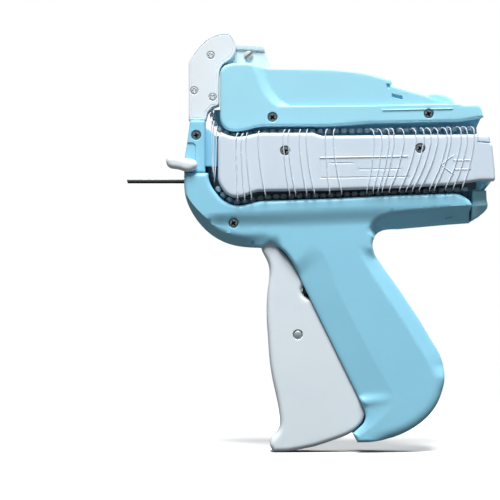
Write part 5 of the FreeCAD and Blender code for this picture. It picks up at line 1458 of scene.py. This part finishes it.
@dataclass
class Studio:
    """Pale floor, soft lamps, white surroundings and the camera."""

    away: float = 1.1
    near_plane: float = -0.013
    world_level: float = 0.12
    floor_z: float = -0.1206
    floor_near: float = 0.16     # distance from the part at which the floor starts to fade to white
    floor_far: float = 0.42
    floor_half: float = 9.0
    floor_pale: float = 0.93     # the floor's colour as the camera sees it
    floor_dark: float = 0.1      # and as bounced light finds it
    middle: Tuple[float, float, float] = (0.055, 0.0, -0.02)
    lamps: Tuple[Tuple[str, Tuple[float, float, float], float, float], ...] = (
        ("soft_front_top", (0.04, -0.85, 1.6), 0.8, 60.0),
        ("soft_back_top", (0.2, 0.95, 1.2), 0.9, 17.0))

    def camera(self) -> None:
        """Level camera along +Y at the scale of the photograph frame."""
        data = bpy.data.cameras.new("camera")
        camera = bpy.data.objects.new("camera", data)
        bpy.context.scene.collection.objects.link(camera)
        centre = at([(250, 250)])[0] * MM
        data.sensor_width = 36.0
        data.lens = data.sensor_width * self.away / (500 * Frame.SCALE_X * MM)
        data.clip_end = 20
        camera.location = (centre[0], self.near_plane - self.away, centre[1])
        camera.rotation_euler = (math.radians(90), 0, 0)
        bpy.context.scene.camera = camera

    def lamp(self, name: str, place: Tuple[float, float, float], size: float, power: float) -> None:
        """Square soft lamp turned to the middle of the part."""
        data = bpy.data.lights.new(name, "AREA")
        data.size = size
        data.energy = power
        lamp = bpy.data.objects.new(name, data)
        bpy.context.scene.collection.objects.link(lamp)
        lamp.location = place
        lamp.rotation_euler = (Vector(self.middle) - Vector(place)).to_track_quat("-Z", "Y").to_euler()

    def world(self) -> None:
        """Even world at a plain level, white to the camera and in reflections."""
        world = bpy.data.worlds.new("studio")
        world.use_nodes = True
        tree = world.node_tree
        ray = add_node(tree, "ShaderNodeLightPath")
        seen = add_node(tree, "ShaderNodeMath", {"operation": "MAXIMUM"},
                        {"0": ray.outputs["Is Camera Ray"], "1": ray.outputs["Is Glossy Ray"]})
        either = add_node(tree, "ShaderNodeMath", {"operation": "MAXIMUM"},
                          {"0": seen.outputs[0], "1": ray.outputs["Is Transmission Ray"]})
        level = add_node(tree, "ShaderNodeMapRange", {}, {"Value": either.outputs[0]},
                         To_Min=self.world_level, To_Max=1.0)
        feed(tree, tree.nodes["Background"], {"Strength": level.outputs["Result"]},
             Color=(1.0, 1.0, 1.0, 1.0))
        bpy.context.scene.world = world

    def floor(self) -> None:
        """Pale matt floor that keeps the part's shadow and fades to white away from it.

        Bounced light finds it darker, so that undersides stay dark.
        """
        size, z = self.floor_half / MM, self.floor_z / MM
        points = np.array([(-size, -size, z), (size, -size, z), (size, size, z), (-size, size, z)])
        floor = new_piece("floor", points, [[0, 1, 2, 3]])
        made = bpy.data.materials.new("pale_matt_floor")
        made.use_nodes = True
        tree = made.node_tree
        shader = tree.nodes["Principled BSDF"]
        ray = add_node(tree, "ShaderNodeLightPath")
        shade = between(tree, ray.outputs["Is Camera Ray"], (self.floor_dark,) * 3 + (1.0,),
                        (self.floor_pale,) * 3 + (1.0,))
        feed(tree, shader, {"Base Color": shade}, Roughness=0.9, Specular_IOR_Level=0.0)
        spot = add_node(tree, "ShaderNodeTexCoord").outputs["Object"]
        away = add_node(tree, "ShaderNodeVectorMath", {"operation": "DISTANCE"}, {"0": spot})
        away.inputs[1].default_value = (self.middle[0], self.middle[1], self.floor_z)
        fade = add_node(tree, "ShaderNodeMapRange", {"interpolation_type": "SMOOTHSTEP"},
                        {"Value": away.outputs["Value"]}, From_Min=self.floor_near,
                        From_Max=self.floor_far)
        share = add_node(tree, "ShaderNodeMath", {"operation": "MULTIPLY"},
                         {"0": fade.outputs["Result"], "1": ray.outputs["Is Camera Ray"]})
        white = add_node(tree, "ShaderNodeEmission", Color=(1.0, 1.0, 1.0, 1.0), Strength=1.0)
        mixed = add_node(tree, "ShaderNodeMixShader", {},
                         {"0": share.outputs[0], "1": shader.outputs[0], "2": white.outputs[0]})
        feed(tree, tree.nodes["Material Output"], {"Surface": mixed.outputs[0]})
        floor.data.materials.append(made)

    def build(self) -> None:
        """Makes camera, lamps, world and floor."""
        self.camera()
        for name, place, size, power in self.lamps:
            self.lamp(name, place, size, power)
        self.world()
        self.floor()
        bpy.context.scene.view_settings.view_transform = "Standard"


def main() -> None:
    """Builds the part's sub-assemblies, finishes, lights and camera in order."""
    logging.basicConfig(level=logging.INFO, format="%(message)s")
    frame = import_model()
    Studio().build()
    for assembly in (Casing(), Nose(), UpperHousing(), HeadGuide(), Magazine(), Clip(), Trigger(),
                     Fasteners(), ReturnSpring()):
        assembly.build()
    KeptNodes.dress(frame["nodes"])


if __name__ == "__main__":
    main()
